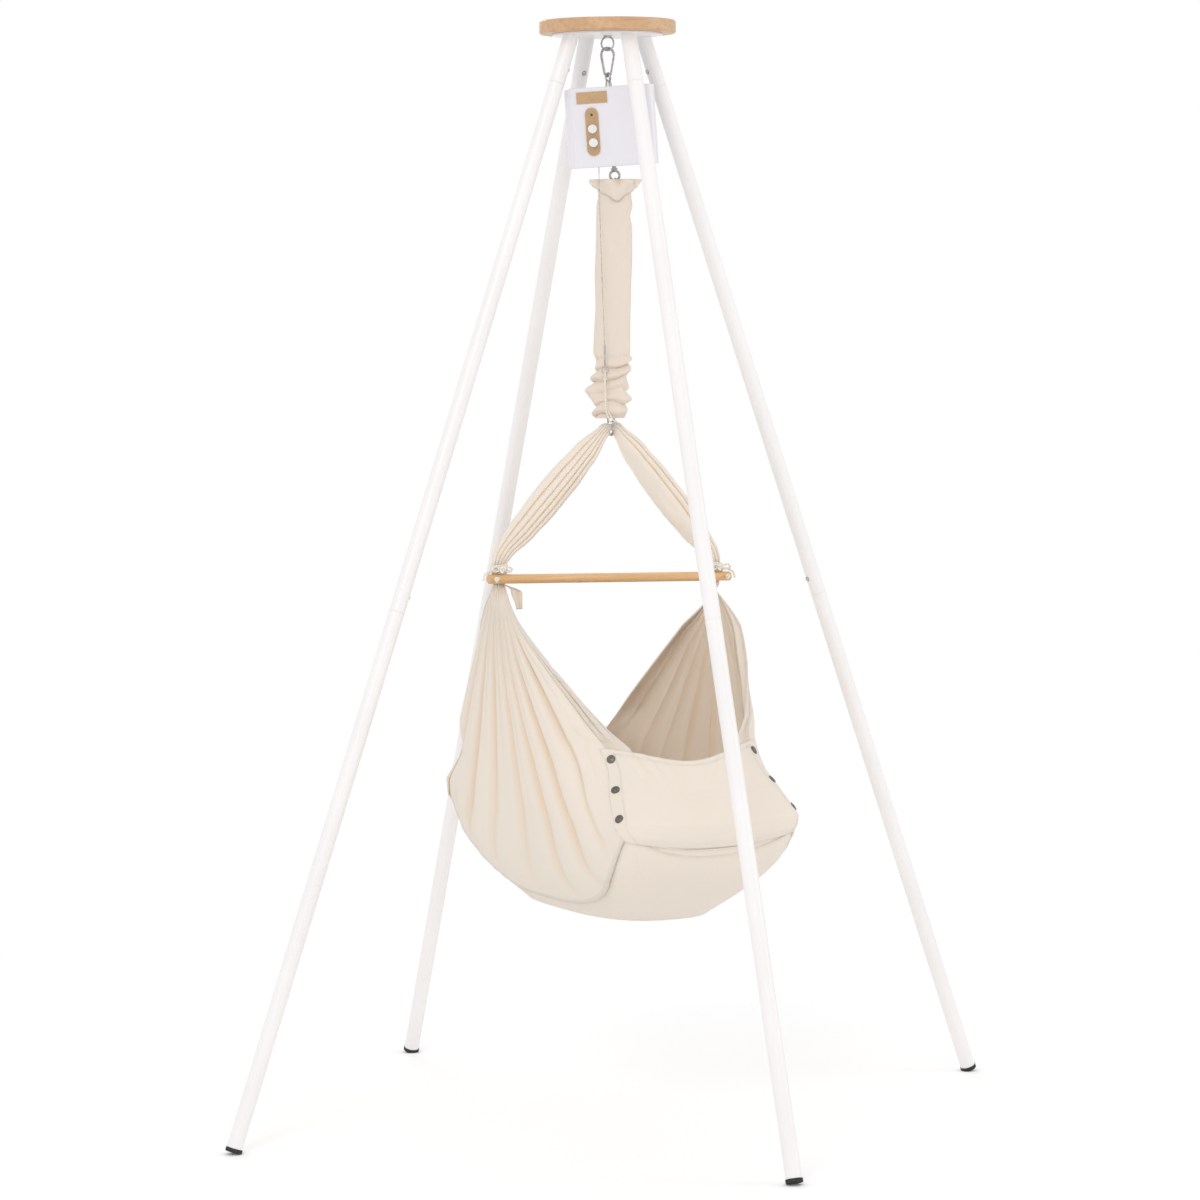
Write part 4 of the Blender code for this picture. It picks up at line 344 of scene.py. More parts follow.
def twisted(name, colour, lay=0.0055):
    """Cotton cord: two strands twisted together with painted shade between them, from UVs of turns and
    metres.
    """
    f = Finish(name, colour, 0.9, sheen=0.15)
    uv = f.uv()
    turn = f.plus(f.times(uv[0], 2 * tau), f.times(uv[1], tau / lay))
    strand = f.math("MULTIPLY_ADD", f.math("SINE", turn), 0.5, 0.5)
    # Painted shade between the strands, where the bump is low
    tint = f.blend(f.between(strand, 0.0, 0.6), shade(colour, 0.72), colour)
    height = f.plus(strand, f.times(f.noise(f.coordinates(), 2500.0), 0.3))
    return f.use(Base_Color=tint, Normal=f.bump(height, 0.0006, 0.8))


# Meshes

def add_object(name, data):
    made = bpy.data.objects.new(name, data)
    bpy.context.scene.collection.objects.link(made)
    return made


def finish_mesh(name, vertices, faces, uvs, material, sharp=(), attributes=None):
    mesh = bpy.data.meshes.new(name)
    mesh.from_pydata(vertices, [], faces)
    mesh.polygons.foreach_set("use_smooth", [k not in sharp for k in range(len(faces))])
    mesh.uv_layers.new(name="UVMap").data.foreach_set("uv", [v for corner in uvs for v in corner])
    for key, values in (attributes or {}).items():
        mesh.attributes.new(key, "FLOAT", "POINT").data.foreach_set("value", values)
    mesh.materials.append(material)
    mesh.validate()
    return add_object(name, mesh)


def grid_ways(grid, around, outward):
    """Unit normals of a grid, all on the side that outward points to."""
    stacks = list(zip(*grid))
    ways, agree = [], 0.0
    for r, row in enumerate(grid):
        line = []
        for c, point in enumerate(row):
            way = heading(row, c, around).cross(heading(stacks[c], r)).normalized()
            agree += way.dot(outward(point))
            line.append(way)
        ways.append(line)
    side = 1 if agree > 0 else -1
    return [[w * side for w in line] for line in ways], side


def hem_attributes(rows, columns, wide, tall, hems):
    """How far each point lies inside its nearest hem's inner line, and its place along that hem."""
    low, high, first, last = hems
    gap, run = [], []
    for r in range(rows):
        for c in range(columns):
            sides = ((low, tall[r], wide[c]), (high, tall[-1] - tall[r], wide[c]),
                     (first, wide[c], tall[r]), (last, wide[-1] - wide[c], tall[r]))
            near, along = min([(1.0, 0.0)] + [(inside - hem, place) for hem, inside, place in sides if hem])
            gap.append(near)
            run.append(along)
    return gap, run


def creases(grid, ways, around):
    """How deep each point lies in a crease, nought on a fold's back and one in a sharp valley."""
    out = []
    for line, push in zip(grid, ways):
        count = len(line)
        for c, (point, way) in enumerate(zip(line, push)):
            worst = 0.0
            for reach, steep in ((3, 0.55), (7, 0.38), (11, 0.3)):
                if not around and (c < reach or c + reach >= count):
                    continue
                before, after = line[(c - reach) % count], line[(c + reach) % count]
                span = (after - before).length / 2
                worst = max(worst, ((before + after) / 2 - point).dot(way) / max(span * steep, 0.0004))
            out.append(clamp(worst))
    return out


def cloth_piece(name, grid, material, outward, thickness=LAYER, around=False, hems=(0, 0, 0, 0)):
    """A cloth through a grid of points: two skins, rims and raised hems, with UVs in metres."""
    rows, columns = len(grid), len(grid[0])
    wide = max((arc(line + line[:1] if around else line) for line in grid), key=lambda a: a[-1])
    tall = arc([line[columns // 2] for line in grid])
    ways, side = grid_ways(grid, around, outward)
    gap, run = hem_attributes(rows, columns, wide, tall, hems)
    outer, inner = [], []
    for r in range(rows):
        for c in range(columns):
            rise = HEM_RISE * (1 - ease(-0.0012, 0.0012, gap[r * columns + c]))
            outer.append(grid[r][c] + ways[r][c] * (thickness / 2 + rise))
            inner.append(grid[r][c] - ways[r][c] * (thickness / 2))
    count = rows * columns
    # How deep each point lies in a crease, the mask for the cloth's painted crease shade
    fold = creases(grid, ways, around)
    faces, uvs, rims = [], [], []
    spans = columns if around else columns - 1

    def add(corners, places, rim=False):
        order = range(4) if side > 0 else (3, 2, 1, 0)
        if rim:
            rims.append(len(faces))
        faces.append([corners[k] for k in order])
        uvs.extend([places[k] for k in order])

    for r in range(rows - 1):
        for c in range(spans):
            d = (c + 1) % columns
            quad = (r * columns + c, r * columns + d, (r + 1) * columns + d, (r + 1) * columns + c)
            place = [(wide[x], tall[y]) for x, y in ((c, r), (c + 1, r), (c + 1, r + 1), (c, r + 1))]
            add(quad, place)
            add([count + k for k in reversed(quad)], list(reversed(place)))
    last = (rows - 1) * columns
    for c in range(spans):
        d = (c + 1) % columns
        ends = ((wide[c], 0), (wide[c + 1], 0), (wide[c + 1], LAYER), (wide[c], LAYER))
        add((d, c, count + c, count + d), ends, True)
        add((last + c, last + d, count + last + d, count + last + c), ends, True)
    if not around:
        for r in range(rows - 1):
            a, b = r * columns, (r + 1) * columns
            ends = ((0, tall[r]), (0, tall[r + 1]), (LAYER, tall[r + 1]), (LAYER, tall[r]))
            add((a, b, count + b, count + a), ends, True)
            a, b = a + columns - 1, b + columns - 1
            add((b, a, count + a, count + b), ends, True)
    # Painted shade on the inner skin: a fixed share of the crease shade all over, or four fifths of the outer
    # skin's where that is more
    behind = [max(INNER_SKIN_SHADE, 0.8 * v) for v in fold]
    piece = finish_mesh(name, outer + inner, faces, uvs, material, set(rims),
                        {"hem": gap * 2, "run": run * 2, "fold": fold + behind})
    piece["flat"] = [wide[-1], tall[-1]]
    piece["area"] = sum(skin_area(grid, r, c, around) for r in range(rows - 1) for c in range(spans))
    return piece


def skin_area(grid, r, c, around):
    d = (c + 1) % len(grid[0]) if around else c + 1
    return ((grid[r][d] - grid[r][c]).cross(grid[r + 1][c] - grid[r][c]).length
            + (grid[r + 1][c] - grid[r + 1][d]).cross(grid[r][d] - grid[r + 1][d]).length) / 2


def ring_faces(rings, sides, heights, closed=False):
    """Quads between rings of points, and caps on an open row of them, with UVs of turns and heights."""
    faces, uvs = [], []
    for k in range(rings if closed else rings - 1):
        m = (k + 1) % rings
        for s in range(sides):
            t = (s + 1) % sides
            faces.append([k * sides + s, k * sides + t, m * sides + t, m * sides + s])
            uvs += [(x / sides, heights[y]) for x, y in ((s, k), (s + 1, k), (s + 1, k + 1), (s, k + 1))]
    if not closed:
        faces += [list(reversed(range(sides))), [(rings - 1) * sides + s for s in range(sides)]]
        uvs += [(0.5, 0.0)] * (2 * sides)
    return faces, uvs


def sweep(name, points, radius, material, sides=12, factors=None, closed=False):
    """A round tube along a line, closed at its ends, with UVs of turns and metres."""
    points = [Vector(p) for p in points]
    n = len(points)
    factors = factors or [1.0] * n
    ahead = [heading(points, k, closed).normalized() for k in range(n)]
    side = ahead[0].orthogonal().normalized()
    sides_at = []
    for t in ahead:
        side = (side - t * side.dot(t)).normalized()
        sides_at.append(side)
    drift = 0.0
    if closed:
        end = (sides_at[-1] - ahead[0] * sides_at[-1].dot(ahead[0])).normalized()
        drift = atan2(ahead[0].dot(end.cross(sides_at[0])), end.dot(sides_at[0]))
    vertices = []
    for k in range(n):
        across = ahead[k].cross(sides_at[k])
        for s in range(sides):
            a = tau * s / sides + drift * k / n
            way = sides_at[k] * cos(a) + across * sin(a)
            vertices.append(points[k] + way * (radius * factors[k]))
    lengths = arc(points + points[:1] if closed else points)
    piece = finish_mesh(name, vertices, *ring_faces(n, sides, lengths, closed), material)
    piece["length"] = lengths[-1]
    return piece


def revolve(name, profile, material, place, sides=32):
    """A turned piece round its own Z, from (radius, height) steps."""
    turns = [tau * s / sides for s in range(sides)]
    vertices = [place @ vec(r * cos(a), r * sin(a), z) for r, z in profile for a in turns]
    faces, uvs = ring_faces(len(profile), sides, range(len(profile)))
    return finish_mesh(name, vertices, faces, uvs, material, {len(faces) - 2, len(faces) - 1})


# The cradle's surfaces, from the same forms as the CAD part

def bar_place():
    return Matrix.Translation(BAR_CENTRE) @ Matrix.Rotation(BAR_TILT, 4, "Y")


def tie_point(sign):
    return bar_place() @ vec(sign * TIE_X, 0, 0)


def plan_shape(z, end):
    """Half width, reach of one end and squareness of the cradle's plan at a height."""
    (z0, reach0), (z1, reach1) = END_REACH[end]
    if z < RIM_Z:
        h = clamp((z - FLOOR_Z) / (RIM_Z - FLOOR_Z))
        wide = HALF_WIDTH * (1 - NARROWING * (1 - h) ** 3)
        return wide, reach0 * (1 - SHORTENING * (1 - h) ** 2), mix(FLOOR_SQUARE, RIM_SQUARE[end], h * h)
    wide = mix(HALF_WIDTH, TIE_X, clamp((z - RIM_Z) / (GATHER_Z - RIM_Z)))
    t = clamp((z - z0) / (z1 - z0))
    reach = mix(reach0, reach1, t) if z < z1 else mix(reach1, 0.06, clamp((z - z1) / (GATHER_Z - z1)))
    return wide, reach, mix(RIM_SQUARE[end], TOP_SQUARE[end], 1 - (1 - t) ** 3)


def plan_arc(shape, limit):
    """Angles from the end's middle to a limit with the plan's length up to each, closest at its corner."""
    wide, reach, square = shape
    steps, last = [(0.0, 0.0)], vec(0, reach)
    for k in range(1, 65):
        u = k / 64
        share = 0.5 * (2 * u) ** (square / 2) if u < 0.5 else 1 - 0.5 * (2 - 2 * u) ** (square / 2)
        angle = min(share * pi / 2, limit)
        spot = vec(wide * sin(angle) ** (2 / square), reach * max(cos(angle), 0.0) ** (2 / square))
        steps.append((angle, steps[-1][1] + (spot - last).length))
        last = spot
        if angle >= limit:
            break
    return steps


def plan_angle(steps, share):
    """The angle at which a share of the plan's length is reached."""
    goal = share * steps[-1][1]
    for (a0, d0), (a1, d1) in zip(steps, steps[1:]):
        if d1 >= goal:
            return mix(a0, a1, (goal - d0) / max(d1 - d0, 1e-9))
    return steps[-1][0]


def plan_normal(shape, x, y):
    wide, reach, square = shape
    across = copysign((abs(x) / wide) ** (square - 1) / wide, x)
    return vec(across, (abs(y) / reach) ** (square - 1) / reach, 0).normalized()


def plan_point(shape, angle, end, outward=0.0):
    """A point of the plan, its angle taken from the end's middle, pushed out along its normal."""
    wide, reach, square = shape
    x = wide * copysign(abs(sin(angle)) ** (2 / square), sin(angle))
    y = reach * abs(cos(angle)) ** (2 / square)
    way = plan_normal(shape, x, y)
    return vec(x + way.x * outward, end * (y + way.y * outward), 0)


def wall_point(y, z, outward):
    """A point of the right-hand wall at a place along the cradle, pushed out along the plan's normal."""
    end = -1 if y < 0 else 1
    shape = plan_shape(z, end)
    wide, reach, square = shape
    share = min(abs(y) / reach, 0.99)
    x = wide * (1 - share ** square) ** (1 / square)
    way = plan_normal(shape, x, share * reach)
    return vec(x + way.x * outward, end * share * reach + end * way.y * outward, z)


def edge_y(z, edge):
    (y1, z1), (y2, z2) = edge
    if z >= z1:
        return y1 * clamp((GATHER_Z - z) / (GATHER_Z - z1))
    return y1 + (y2 - y1) * clamp((z1 - z) / (z1 - z2))


def uncovered(y, z):
    """Nought where an end panel lies on the fan and one where the pleats are free."""
    edge, top = (FAN_FRONT, APRON_TOP) if y < 0 else (FAN_BACK, HEAD_TOP)
    inside = abs(edge_y(min(z, top), edge)) - abs(y)
    return max(clamp((inside - 0.05) / 0.035), clamp((z - top - 0.012) / 0.03))


def fan_outline(count):
    """Points spread evenly along the fan's lower outline in (y, z), from the front corner round the hem."""
    (fy1, fz1), (fy2, fz2) = FAN_FRONT
    (by1, bz1), (by2, bz2) = FAN_BACK
    path = [vec(fy1, fz1), vec(fy2, fz2)]
    middle, half = (fy2 + by2) / 2, (by2 - fy2) / 2
    for k in range(1, 48):
        y = middle - half * cos(pi * k / 48)
        corner = fz2 if y < middle else bz2
        path.append(vec(y, HEM_LOW_Z + (corner - HEM_LOW_Z) * abs((y - middle) / half) ** 3.4))
    path += [vec(by2, bz2), vec(by1, bz1)]
    lengths = arc(path)
    out, k = [], 0
    for i in range(count + 1):
        d = lengths[-1] * i / count
        while k < len(path) - 2 and lengths[k + 1] < d:
            k += 1
        out.append(path[k].lerp(path[k + 1], (d - lengths[k]) / (lengths[k + 1] - lengths[k])))
    return out


def pleat(value):
    """Nought in the crease between two folds and one on a fold's back."""
    return abs(sin(pi * value)) ** 0.72


def fan_grid(sign, columns=216, rows=84):
    tie = tie_point(sign)
    outline = fan_outline(columns)
    drop = tie.z - BAR_CENTRE.z
    folds = 11 if sign < 0 else 10
    shares = [c / columns for c in range(columns + 1)]
    grid = [[vec(tie.x + sign * TIE_HALF * (2 * share - 1) * 0.92,
                 BAR_R + 0.0016 + 0.0018 * pleat(folds * share), tie.z + height) for share in shares]
            for height in (0.006, 0.0015, -0.003)]
    for r in range(rows + 1):
        s = (r / rows) ** 1.12
        free = clamp(3.5 * s)
        line = []
        for share, (by, bz) in zip(shares, outline):
            y, z = mix(mix(0.0062, 0.015, share), by, s), mix(GATHER_Z, bz, s)
            drift = 0.2 * sin(5.3 * share + 1.1 * sign) + 0.05 * sin(9.0 * share + 4.0 * s)
            crowd = share + 0.06 * sin(tau * share)
            main = pleat(folds * crowd + drift)
            half = pleat(2 * folds * crowd + 1.7 * drift)
            tall = 0.72 + 0.28 * sin(11.0 * share + 2.0 * sign)
            depth = 0.019 * tall * sin(pi * min(1.0, 0.04 + 0.84 * s)) ** 0.8
            small = 0.0036 * (1 - ease(0.25, 0.85, s))
            push = (depth * main + small * half) * uncovered(y, z)
            hem_pucker = 0.0012 * ease(0.9, 1.0, s) * pleat(31 * share)
            ripple = 0.0016 * waver(share * 9, s * 5, 3.7 * sign) * ease(0.15, 0.5, s)
            cling = mix(0.003, 0.0014, ease(0.88, 1.0, s)) + LAYER / 2
            tuck = mix(1.0, 0.34, ease(0.9, 1.0, s))
            wall = wall_point(y, z, cling + push * tuck + hem_pucker + ripple * uncovered(y, z))
            roll = 0.0045 * (1 - ease(0.0, 0.02, share * (1 - s * 0.4))) * ease(0.1, 0.5, s)
            wall.x += roll * clamp((z - APRON_TOP) / 0.03)
            gathered = vec(TIE_X + TIE_HALF * (2 * share - 1) * 0.85, y + 0.0022 * (main - 0.5), z)
            point = gathered.lerp(wall, free)
            shift = (abs(tie.x) - TIE_X) * (1 - free)
            line.append(vec(sign * (point.x + shift), point.y, point.z + drop * (1 - free)))
        grid.append(line)
    return grid


def panel_limit(z, end):
    """The angle at which an end panel's side border lies at a height."""
    border = PANEL_BORDER[end]
    y = border[-1][0] if z > border[0][1] else border[0][0]
    for (y0, z0), (y1, z1) in zip(border, border[1:]):
        if z0 <= z <= z1:
            y = mix(y0, y1, (z - z0) / (z1 - z0))
    _, reach, square = plan_shape(z, end)
    return acos(min(y / reach, 1.0) ** (square / 2))


def panel_angle(shape, z, end, share):
    """The angle at a share of the way from an end's middle to its panel's side border."""
    return copysign(plan_angle(plan_arc(shape, panel_limit(z, end)), abs(share)), share)


def panel_edges(share, low, side, top, dip):
    """Heights of an end panel's seam and of its top edge, both lowest in the middle."""
    return mix(low, side, abs(share) ** 2.2), top - dip * cos(share * pi / 2) ** 2


def panel_grid(end, top, dip, low_sides, low_middle):
    """An end panel: sewn low on the tub, bellied above its seam, and wrapped round the fans' edges."""
    def point(q, across):
        share = 2 * across - 1
        z = mix(*panel_edges(share, low_middle, low_sides, top, dip), q)
        shape = plan_shape(z, end)
        angle = panel_angle(shape, z, end, share)
        over_fan = ease(0.58, 0.78, abs(share))
        stand = mix(0.0014, 0.0048, over_fan)
        belly = 0.0075 * sin(pi * clamp(q * 1.5)) ** 0.8 * (1 - over_fan)
        sag = 0.004 * ease(0.55, 1.0, q) * cos(share * pi / 2) ** 2
        pull = abs(share) * 4.0 - q * 3.0
        crease = 0.0016 * sin(9.0 * pull) * ease(0.5, 0.95, q) * bell(abs(share), 0.55, 0.28)
        ripple = 0.0015 * waver(share * 3.2, q * 2.1, 5.0 + end)
        out = (stand + belly + ripple + crease) * ease(0.0, 0.1, q) - sag * (1 - over_fan)
        return plan_point(shape, angle, end, LAYER / 2 + 0.0006 + out) + up(z)
    return grid_of(44, 128, point)


def grid_spot(grid, r, c):
    """A point between a grid's own points, and the outward way there."""
    r0, c0 = min(int(r), len(grid) - 2), min(int(c), len(grid[0]) - 2)
    u, v = r - r0, c - c0
    a, b, d, e = grid[r0][c0], grid[r0][c0 + 1], grid[r0 + 1][c0], grid[r0 + 1][c0 + 1]
    spot = a * (1 - u) * (1 - v) + b * (1 - u) * v + d * u * (1 - v) + e * u * v
    way = (b - a).cross(d - a).normalized()
    return spot, way if way.dot(vec(spot.x, spot.y, 0)) > 0 else -way


def seam_z(share):
    """Height of the zip seam round an end, lowest in the middle."""
    return mix(0.54, 0.566, abs(share) ** 2.2)


def tub_angle(turn, arcs):
    """The end and the angle from its middle, for a share of the way round the tub from the foot's middle."""
    quarter, share = int(turn * 4), turn * 4 % 1
    end = 1 if quarter in (1, 2) else -1
    angle = plan_angle(arcs[end], share if quarter in (0, 2) else 1 - share)
    return end, angle if quarter < 2 else -angle


def tub_grid(columns=232):
    grid = []
    steps = 40
    for k in range(steps + 1):
        h = 1 - (k / steps) ** 1.25
        z = FLOOR_Z + (RIM_Z - FLOOR_Z) * h - 0.0002
        line = []
        arcs = {end: plan_arc(plan_shape(z, end), pi / 2) for end in (-1, 1)}
        for c in range(columns):
            end, angle = tub_angle((c + 0.5) / columns, arcs)
            ripple = 0.0016 * waver(sin(angle) * 2.3, cos(angle) * 3.5, h * 2.4)
            ripple *= sin(pi * clamp(h * 1.02))
            point = plan_point(plan_shape(z, end), angle, end, -LAYER / 2 + min(ripple, 0.0005) - 0.0002)
            line.append(point + up(z))
        grid.append(line)
    edge = grid[-1]
    for share in (0.97, 0.93, 0.86, 0.78, 0.68, 0.56, 0.44, 0.3, 0.15, 0.004):
        grid.append([vec(p.x * share, p.y * share, FLOOR_Z - 0.001 - SAG * (1 - share ** 2)) for p in edge])
    return grid


def strap_stops(sign):
    """The strap's middle line, from behind the bar up over the apex hook's lower bow."""
    tie = tie_point(sign)
    low = vec(tie.x, BAR_R + 0.0033, tie.z - 0.004)
    high = vec(sign * 0.00015, 0, 1.27836)
    stops = [low, low + up(0.025), low + vec(-sign * 0.013, -0.001, 0.0543)]
    before = high + vec(sign * 0.015, 0, -0.007)
    start = stops[-1]
    stops += [start.lerp(before, t) for t in (0.2, 0.4, 0.6, 0.8)]
    return stops + [before, high + vec(sign * 0.007, 0, -0.0012), high]


def strap_grid(sign, columns=132, per_span=14):
    stops = strap_stops(sign)
    line = smooth_route(stops, per_span)
    halves = [TIE_HALF, TIE_HALF * 1.06, 0.018, 0.0262, 0.03, 0.0295, 0.025, 0.0125, 0.0062, 0.0055]
    folds = 5.0 if sign < 0 else 3.0
    grid = []
    for k, point in enumerate(line):
        place = k / per_span
        i = min(int(place), len(stops) - 2)
        t = place - i
        half = mix(halves[i], halves[i + 1], ease(0.0, 1.0, t))
        ahead = heading(line, k)
        if k == 0:
            ahead = up(1)
        if k == len(line) - 1:
            ahead = vec(-sign, 0, 0)
        wide = vec(ahead.z, 0, -ahead.x).normalized()
        full = clamp((half - TIE_HALF) / 0.016)
        tight = ease(6.0, 8.4, place)
        depth = mix(mix(0.0026, 0.0052, full), 0.003, tight)
        row = []
        for c in range(columns + 1):
            share = c / columns
            drift = 0.1 * sin(4.1 * share + 2.0 * sign) + 0.08 * sin(6.0 * share + 0.5 * place)
            crowd = share if sign < 0 else mix(share, share ** 2.2, 0.9)
            main = pleat(folds * crowd + drift)
            skew = mix(share, ease(0.0, 1.0, share), 0.15)
            fold = depth * (main - 0.5)
            bow = 0.0095 * full * cos(pi * (share - 0.5))
            soft = 0.0022 * waver(share * 3.0, place * 0.8, 9.0 * sign) * full
            row.append(point + wide * (half * (2 * skew - 1)) - vec(0, fold + bow + soft, 0))
        grid.append(row)
    return grid


def spring_axis(z):
    return SPRING_TOP.lerp(SPRING_BOTTOM, (SPRING_TOP.z - z) / (SPRING_TOP.z - SPRING_BOTTOM.z))


def sleeve_point(z, angle):
    """The cotton hose: a flared mouth, a narrow neck, a dented flat body and tucks piled up at the bottom."""
    middle = spring_axis(z)
    wide, deep = 0.033, 0.0185
    flare = ease(1.716, 1.734, z)
    neck = bell(z, 1.706, 0.013)
    pinch = 0.004 * bell(z, 1.668, 0.012) * max(0.0, cos(angle)) ** 2
    wide += mix(0.0, 0.005, flare) - 0.0035 * neck - pinch
    deep += mix(0.0, 0.005, flare) - 0.001 * neck
    swell = 0.0
    if z > BUNCH_TOP:
        frill = 0.0046 * flare * (cos(7 * angle + 0.6) + 0.45 * cos(12 * angle + 2.0))
        front = max(0.0, cos(angle + pi / 2))
        dents = (-0.005 * bell(z - 0.01 * cos(angle), 1.599, 0.007) * bell(angle, -1.05, 0.55)
                 + 0.0028 * bell(z, 1.58, 0.018) * bell(angle, -1.15, 0.6)
                 - 0.0036 * bell(z, 1.54, 0.055) * bell(angle, -0.62, 0.22)
                 - 0.003 * bell(z - 0.008 * cos(angle), 1.679, 0.009) * bell(angle, -0.8, 0.5)
                 + 0.0016 * front * sin(38 * z))
        wave = 0.0022 * waver(cos(angle) * 1.1, sin(angle) * 1.1, z * 11)
        fine = 0.0009 * waver(cos(angle) * 2.6, sin(angle) * 2.6, z * 30)
        swell = frill + dents + (wave + fine) * (1 - flare) * ease(0, 0.02, 1.716 - z)
    else:
        t = (BUNCH_TOP - z) / (BUNCH_TOP - SLEEVE_LOW)
        tilt = 0.3 * sin(angle + 0.7 + 3.0 * t) + 0.12 * sin(3 * angle + 9 * t)
        p = (5.0 * t + tilt + 1.0) % 1.0
        roll = abs(sin(pi * p ** 1.6)) ** 0.75
        fullness = 0.65 + 0.35 * sin(angle + 11.0 * t)
        wing = 0.0165 * bell(z, 1.342, 0.013) * max(0.0, -cos(angle)) ** 5
        swell = ease(0.0, 0.1, t) * (0.0125 * roll * fullness - 0.0045) + wing
        swell += 0.0012 * waver(cos(angle) * 3, sin(angle) * 3, z * 60)
        wide = mix(wide, 0.027 + 0.004 * sin(pi * t), ease(0.0, 0.25, t))
        deep = mix(deep, 0.0205, ease(0.0, 0.3, t))
    x = (wide + swell) * copysign(abs(cos(angle)) ** 0.86, cos(angle))
    y = (deep + swell) * copysign(abs(sin(angle)) ** 0.9, sin(angle))
    return middle + ACROSS * x - NEAR * y


def sleeve_grid(columns=112):
    levels = [SLEEVE_TOP - 0.0011 * k for k in range(24)]
    z = levels[-1]
    while z > BUNCH_TOP + 0.004:
        z -= 0.0042
        levels.append(z)
    step = (levels[-1] - SLEEVE_LOW) / 90
    levels += [levels[-1] - step * (k + 1) for k in range(90)]
    return [[sleeve_point(max(z, SLEEVE_LOW), tau * c / columns) for c in range(columns)] for z in levels]


def cuff_grid():
    """The front of the sleeve's mouth, folded over and hanging in a V."""
    def point(q, across):
        share = 2 * across - 1
        angle = -pi / 2 - 0.12 + share * radians(100)
        drop = 0.0075 + 0.029 * clamp(1 - abs(share - 0.12)) ** 1.25 + 0.0016 * sin(13 * share)
        top = SLEEVE_TOP - 0.0012
        if q < 0.25:
            a = pi * q / 0.25
            z, out = top + 0.0022 * sin(a), 0.0022 * (1 - cos(a)) + 0.0002
        else:
            z = top - drop * (q - 0.25) / 0.75
            out = 0.005 + 0.004 * sin(1.5 * pi * (q - 0.25)) * (0.4 + 0.6 * cos(3.1 * share))
        base = sleeve_point(min(z, SLEEVE_TOP), angle)
        way = (ACROSS * cos(angle) - NEAR * sin(angle)).normalized()
        return vec(base.x, base.y, z) + way * (out + 0.0016 * sin(9 * share + 1.0) * q)
    return grid_of(22, 72, point)


# Putting pieces on the frame

def settle(piece, node=None, ends=None):
    """Hangs a piece on the cradle, or bakes its place into its mesh where ends are given, and hides the node
    it stands for.
    """
    if ends:
        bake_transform(piece)
    else:
        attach(piece, "cradle")
    if node:
        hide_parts(node)
    return piece


def sheet_piece(piece, node, ends=None):
    """Settles a cloth as settle does; cloth_piece has kept its flat size on it."""
    settle(piece, node, ends)


def cord_piece(name, points, radius, material, node=None,
               ends=None, sides=12):
    piece = settle(sweep(name, points, radius, material, sides), node, ends)
    tuple(points[0])
    [tuple(p) for p in points]


def side_of(sign):
    return "left" if sign < 0 else "right"


def from_middle(p):
    return vec(p.x, p.y, 0)


def build_sides(kind, make_grid, material, outward, thickness, hems):
    """The two fans or the two straps."""
    for sign in (-1, 1):
        node = f"{kind}_{side_of(sign)}"
        piece = cloth_piece(f"{node}_cloth", make_grid(sign), material, lambda p: outward(sign), thickness,
                            hems=hems)
        sheet_piece(piece, node)


def build_end_panels(material):
    """The apron and the head panel; gives back the apron's grid, for its studs."""
    grids = []
    for node, end, top, dip, low, hem in (("foot_apron", -1, APRON_TOP, APRON_DIP, SEAM_LOW, 0.033),
                                          ("head_panel", 1, HEAD_TOP, 0.02, 0.545, 0.015)):
        grid = panel_grid(end, top, dip, SEAM_SIDE, low)
        piece = cloth_piece(f"{node}_cloth", grid, material, from_middle, hems=(0, 0.012, hem, hem))
        sheet_piece(piece, node)
        grids.append(grid)
    return grids[0]


def build_studs(apron, material):
    rows, columns = len(apron) - 1, len(apron[0]) - 1
    profile = [(0.003, -0.0012), (0.0078, -0.0012), (0.0082, -0.0004), (0.0082, 0.0006), (0.0077, 0.0014),
               (0.0068, 0.0018), (0.0062, 0.0015), (0.0058, 0.0014), (0.0052, 0.0018), (0.0038, 0.0023),
               (0.0018, 0.0026), (0.0001, 0.0027)]
    for sign in (-1, 1):
        for k, height in enumerate(STUD_HEIGHTS):
            share = sign * (1 - 2 * STUD_FROM_BORDER / arc(apron[int(rows * height)])[-1])
            z = mix(STUD_FOOT_Z, APRON_TOP, height)
            low, high = panel_edges(share, SEAM_LOW, SEAM_SIDE, APRON_TOP, APRON_DIP)
            row = rows * clamp((z - low) / (high - low))
            spot, way = grid_spot(apron, row, columns * (0.5 + 0.5 * share))
            turn = way.to_track_quat("Z", "Y").to_matrix().to_4x4()
            place = Matrix.Translation(spot + way * (LAYER / 2 + HEM_RISE)) @ turn
            settle(revolve(f"stud_{side_of(sign)}_{k}", profile, material, place))


def seam_line(end, raise_by, out, count=90):
    line = []
    for k in range(count + 1):
        share = 2 * k / count - 1
        z = seam_z(share) + raise_by * (1 - abs(share) ** 3)
        shape = plan_shape(z, end)
        line.append(plan_point(shape, panel_angle(shape, z, end, share * 0.97), end, out) + up(z))
    return line


def build_tub(material):
    outward = lambda p: vec(p.x, p.y, -0.05) if p.z > FLOOR_Z else up(-1)
    tub = cloth_piece("bottom_shell_cloth", tub_grid(), material, outward, around=True, hems=(0.006, 0, 0, 0))
    sheet_piece(tub, "bottom_shell")
    for end, label in ((-1, "foot"), (1, "head")):
        for k, (raise_by, radius) in enumerate(((-0.003, 0.0016), (-0.017, 0.0013))):
            line = seam_line(end, raise_by, radius * 0.6)
            settle(sweep(f"{label}_piping_{k}", line, radius, material, 10))


